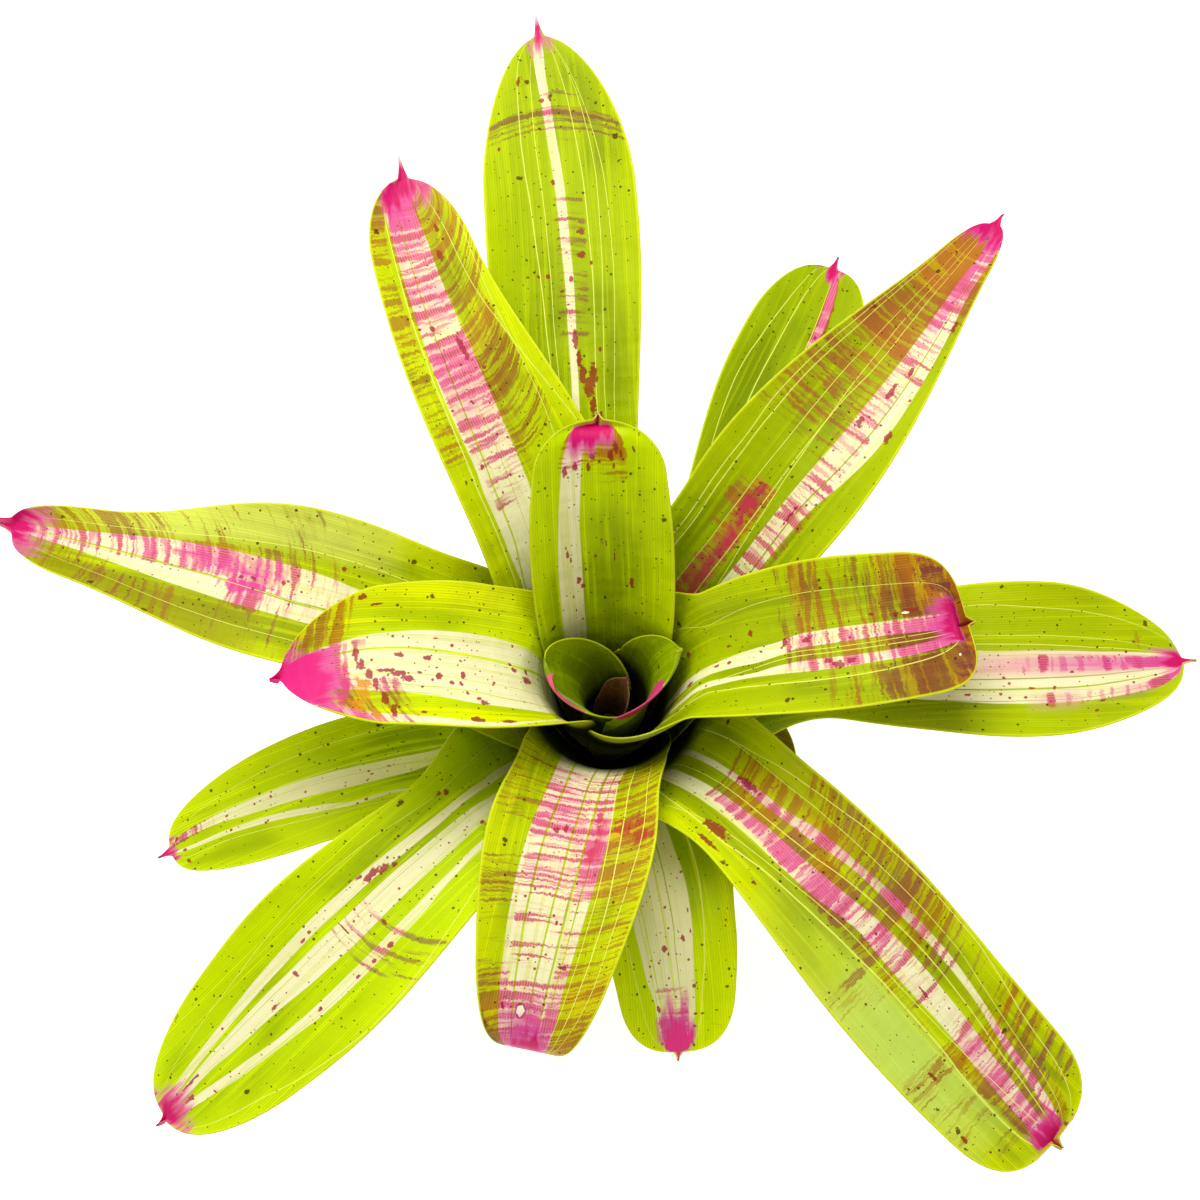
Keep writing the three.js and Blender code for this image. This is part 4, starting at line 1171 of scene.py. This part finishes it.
grow_leaf(
    "leaf_13_east_outer",
    Leaf(place=13, heading=1.4, swing=1.1, throat=(53, 67), rise=44, tip=(257, 90), fall=-14,
         sway=-0.6, width=74, waist=0.26, belly=0.57, shoulder=0.78, nose=58, blunt=2.2, clasp=85,
         embrace=36, channel=(26, 12), wave=(2.5, 2.4, 0.1), spine=7),
    seed=15, shade=(16, 50), greens=("8b9c00", "aabc00", "c8d800"),
    cream=[[(-20, -40, 16), (50, -52, 16), (60, -55, 14), (80, -58, 14), (96, -64, 20)]],
    veins=[
        (1.5, [(30, -20), (60, -22), (90, -20)]),
        (2, [(30, -33), (70, -36), (90, -34)]),
        (0.8, [(30, -50), (90, -53)]),
        (0.5, [(30, 8), (90, 9)]),
    ],
    threads=[
        (1, [(30, 25), (60, 23), (80, 20), (95, 22)]),
        (0.9, [(30, 72), (55, 72), (70, 68), (85, 70)]),
        (0.7, [(30, 38), (60, 34), (80, 33)]),
    ],
    flush=[
        (-15, 8, [(45, 15), (60, 22), (65, 30), (70, 40), (80, 55), (90, 100)]),
        (-62, -42, [(62, 5), (70, 35), (80, 35), (87, 60), (93, 90)]),
        (20, 100, [(86.5, 0), (88, 35), (89.5, 0)]),
    ],
    bloom=[
        ("e46aa4", -16, 8, [(45, 0), (55, 50), (70, 75), (85, 100), (100, 100)]),
        ("e46aa4", -62, -44, [(62, 0), (72, 50), (76, 10), (88, 50), (100, 80)]),
    ],
    pitch=0.12,
    blots=[(51.5, -42, 0.7, 2), (58, -41, 0.4, 2), (64.5, -35, 0.7, 2), (69, -36, 0.4, 3),
        (78.5, -61, 0.8, 1.5), (77, -74, 0.4, 2), (85, 16, 0.4, 3), (63, -47, 0.4, 2),
        (73, -15, 0.5, 2), (59, -20, 0.4, 2)],
    tip=[(-100, 103), (-50, 97.5), (-10, 93), (20, 94), (50, 98.5), (100, 104)],
    blush=5, feather=1.5,
)
grow_leaf(
    "leaf_14_south_outer",
    Leaf(place=14, heading=-74.2, swing=-5.2, throat=(54, 60), rise=42, tip=(161, 50), fall=-37,
         sway=0.4, width=58.5, waist=0.9, belly=0.46, shoulder=0.78, nose=24.5, blunt=2.55, clasp=90,
         embrace=44, channel=(26, 14), spine=4),
    seed=16, shade=(10, 20), greens=("a4bb00", "cbe300", "f0ff00"),
    cream=[[(-40, -20, 15), (20, -30, 25), (30, -36, 31), (40, -42, 35), (50, -51, 35), (60, -49, 32),
        (70, -46, 31), (80, -38, 31), (95, -38, 30)]],
    veins=[
        (1.5, [(10, 5), (50, 7), (60, 5), (80, 8)]),
        (1.2, [(10, -3), (50, -6), (75, -4)]),
        (0.6, [(20, -17), (65, -20), (80, -20)]),
        (1.8, [(40, -36), (60, -33), (78, -29)]),
        (1.2, [(40, -42), (60, -39), (70, -37)]),
    ],
    threads=[
        (2, [(10, 36), (30, 50), (40, 53), (60, 50), (80, 43), (92, 44)]),
        (1.4, [(40, -70), (70, -64), (80, -61), (95, -60)]),
    ],
    flush=[
        (-36, 20, [(70, 0), (76, 25), (80, 40), (85, 70), (87, 100)]),
        (55, 100, [(85, 0), (87, 35), (89, 0)]),
    ],
    blots=[(55, 18, 1.2, 3.5), (58, -12, 1.2, 4.5), (60, -6, 0.8, 2), (72.5, 30, 0.8, 3),
        (45, 31, 0.8, 1.2), (53, 31, 0.6, 1.5), (63, -23, 0.6, 2), (69, -10, 0.6, 2),
        (80, -33, 1.5, 3.5), (81.5, 70, 0.4, 4), (82.5, 45, 0.4, 3), (82.5, 33, 0.5, 3.5),
        (87, 33, 0.6, 3.5), (84, -11, 1.2, 3), (70, 92, 0.6, 3), (73.5, 86, 0.5, 3), (51, 86, 0.5, 2)],
    tip=[(-100, 110), (-55, 103), (-40, 93), (-10, 85), (5, 85), (30, 91), (45, 102), (100, 110)],
    blush=12, feather=5, tip_colour="ea3a86",
)


# ---- Low leaves ----
# Two older leaves that clasp the foot of the crown, narrower and plainer, of which
# little shows from above, and the dry stub of a leaf that has been pulled away.

grow_leaf(
    "leaf_15_northeast_back",
    Leaf(place=15, heading=60, swing=4.7, throat=(55, 53), rise=40, tip=(249.5, 60), fall=-14,
         width=55, waist=0.38, belly=0.62, shoulder=0.88, nose=48.5, blunt=2.25, clasp=80, embrace=28,
         channel=(24, 26), spine=8),
    seed=17, greens=("7b8e00", "99ae00", "b6ca00"),
    cream=[[(-20, -20, -15), (50, -22, -15), (70, -23, -14), (80, -30, -15), (90, -30, -12),
        (96, -40, -2)]],
    threads=[
        (1.6, [(20, 60), (40, 72), (50, 74), (60, 72), (70, 65), (87, 56), (94, 62)]),
        (1.8, [(20, 30), (50, 38), (70, 35), (94, 33)]),
        (1.4, [(30, -13), (70, -13), (90, -10)]),
    ],
    flush=[(-35, -10, [(60, 30), (74, 80), (80, 95), (95, 100)])],
    pitch=0.1,
    blots=[(75, -20, 0.6, 2.5), (77, -33, 0.4, 2), (90.5, -48, 0.4, 3), (93, 2, 0.6, 6),
        (88, 32, 0.6, 1.5)],
    tip=[(-100, 96.5), (-30, 95), (0, 94), (40, 95.5), (100, 96.5)],
    blush=2,
)
grow_leaf(
    "leaf_16_west_low",
    Leaf(place=16, heading=-164, swing=0.8, throat=(55, 45), rise=38, tip=(208.5, 34), fall=-28,
         width=54, waist=0.9, belly=0.42, shoulder=0.78, nose=62.5, blunt=2.55, clasp=80, embrace=42,
         channel=(24, 10), spine=7),
    seed=18, shade=(20, 30), greens=("9cb100", "c2d900", "e9fe00"),
    cream=[
        [(-30, -12, -2), (10, -12, -2), (20, -10, 10), (30, -12, 18), (40, -16, 17), (50, -20, 12),
            (60, -24, 6), (70, -27, 0), (80, -30, -10), (93, -36, -20)],
        [(-30, 40, 44), (35, 43, 49), (40, 43, 50), (50, 33, 44), (60, 22, 34), (70, 14, 26),
            (80, 12, 22), (93, 14, 24)],
    ],
    veins=[(0.6, [(20, 3), (50, -7), (80, -22)]), (0.6, [(30, 47), (50, 38.5), (70, 20), (90, 18)])],
    threads=[
        (1, [(30, 60), (40, 57), (60, 46), (70, 38), (78, 35), (85, 40), (92, 50)]),
        (1.1, [(20, -16), (45, -22), (75, -31), (93, -42)]),
        (1, [(20, -60), (40, -65), (55, -65), (85, -62)]),
    ],
    flush=[(-37, -10, [(80, 0), (86, 50), (92, 80)])],
    blots=[(91.5, 22, 0.8, 6), (93, -35, 0.6, 7), (91, 65, 0.6, 10), (63.5, -15, 0.5, 3),
        (35.5, 5, 0.5, 1.5), (39, 46, 0.5, 2), (35, -27, 1, 1.2), (77, -17, 0.5, 2), (88, -62, 0.4, 3)],
    tip=[(-100, 96.5), (-30, 95), (20, 95.5), (100, 96.5)],
    blush=2,
)
grow_leaf(
    "leaf_17_old",
    Leaf(place=17, heading=-15, swing=-2, throat=(52, 33), rise=28, tip=(88, 34), fall=-30, width=40,
         nose=30, clasp=70, embrace=40, channel=(30, 30), spine=3),
    slot="old_leaf",
    seed=19, greens=("3f2d10", "6a5018", "8a7a22"), tip=[(-100, 120), (100, 120)], freckles=10,
    threads=[(1.2, [(-30, 30), (100, 35)])], spine_colour="4a3418", rough=0.6,
)


# ---- Setting ----
# A pale floor under the cut stem, and soft light from a broad overhead box with two
# weaker ones at the sides.

FLOOR_HALF = 6
FLOOR_GREY = (0.82, 0.82, 0.82, 1)
FLOOR_GLOW = 0.75
WHITE = (1, 1, 1, 1)
ROOM_LIGHT = 0.38
LIT_SPOT = Vector((0, 0.03, 0.1))
BOXES = (  # a name, a place, a size and a power
    ("overhead_box", (-0.25, 0.75, 1.6), 1.3, 27.0),
    ("left_box", (-1.6, -0.5, 0.9), 1.0, 6.0),
    ("right_box", (1.6, -0.3, 0.9), 1.0, 5.0),
)

floor_mesh = bmesh.new()
bmesh.ops.create_grid(floor_mesh, x_segments=1, y_segments=1, size=FLOOR_HALF)
floor_data = bpy.data.meshes.new("floor")
floor_mesh.to_mesh(floor_data)
floor_mesh.free()
floor = bpy.data.objects.new("floor", floor_data)
bpy.context.scene.collection.objects.link(floor)
paper = Finish("floor_paper")
paper.set(Base_Color=FLOOR_GREY, Roughness=0.95, Specular_IOR_Level=0.0)
paper.set(Emission_Color=WHITE, Emission_Strength=FLOOR_GLOW)
floor_data.materials.append(paper.material)

for name, spot, size, power in BOXES:
    light = bpy.data.lights.new(name, "AREA")
    light.size = size
    light.energy = power
    lamp = bpy.data.objects.new(name, light)
    lamp.location = spot
    lamp.rotation_euler = (LIT_SPOT - Vector(spot)).to_track_quat("-Z", "Y").to_euler()
    bpy.context.scene.collection.objects.link(lamp)

world = bpy.data.worlds.new("studio")
world.use_nodes = True
background = world.node_tree.nodes["Background"]
background.inputs["Color"].default_value = WHITE
background.inputs["Strength"].default_value = ROOM_LIGHT
bpy.context.scene.world = world
bpy.context.scene.view_settings.view_transform = "Standard"


# ---- Camera ----
# It stands in front of the plant and high above it, 1.8 m away, and looks down at 67
# degrees through a long lens.

LOOKS_DOWN = math.radians(67)
DISTANCE = 1.8
LOOKS_AT = Vector((-0.004, 0.040, 0.090))
LENS, FILM = 122.73, 36

camera_data = bpy.data.cameras.new("camera")
camera_data.sensor_width = FILM
camera_data.lens = LENS
camera = bpy.data.objects.new("camera", camera_data)
backwards = Vector((0, -math.cos(LOOKS_DOWN), math.sin(LOOKS_DOWN)))
camera.location = LOOKS_AT + DISTANCE * backwards
camera.rotation_euler = (math.pi / 2 - LOOKS_DOWN, 0, 0)
bpy.context.scene.collection.objects.link(camera)
bpy.context.scene.camera = camera
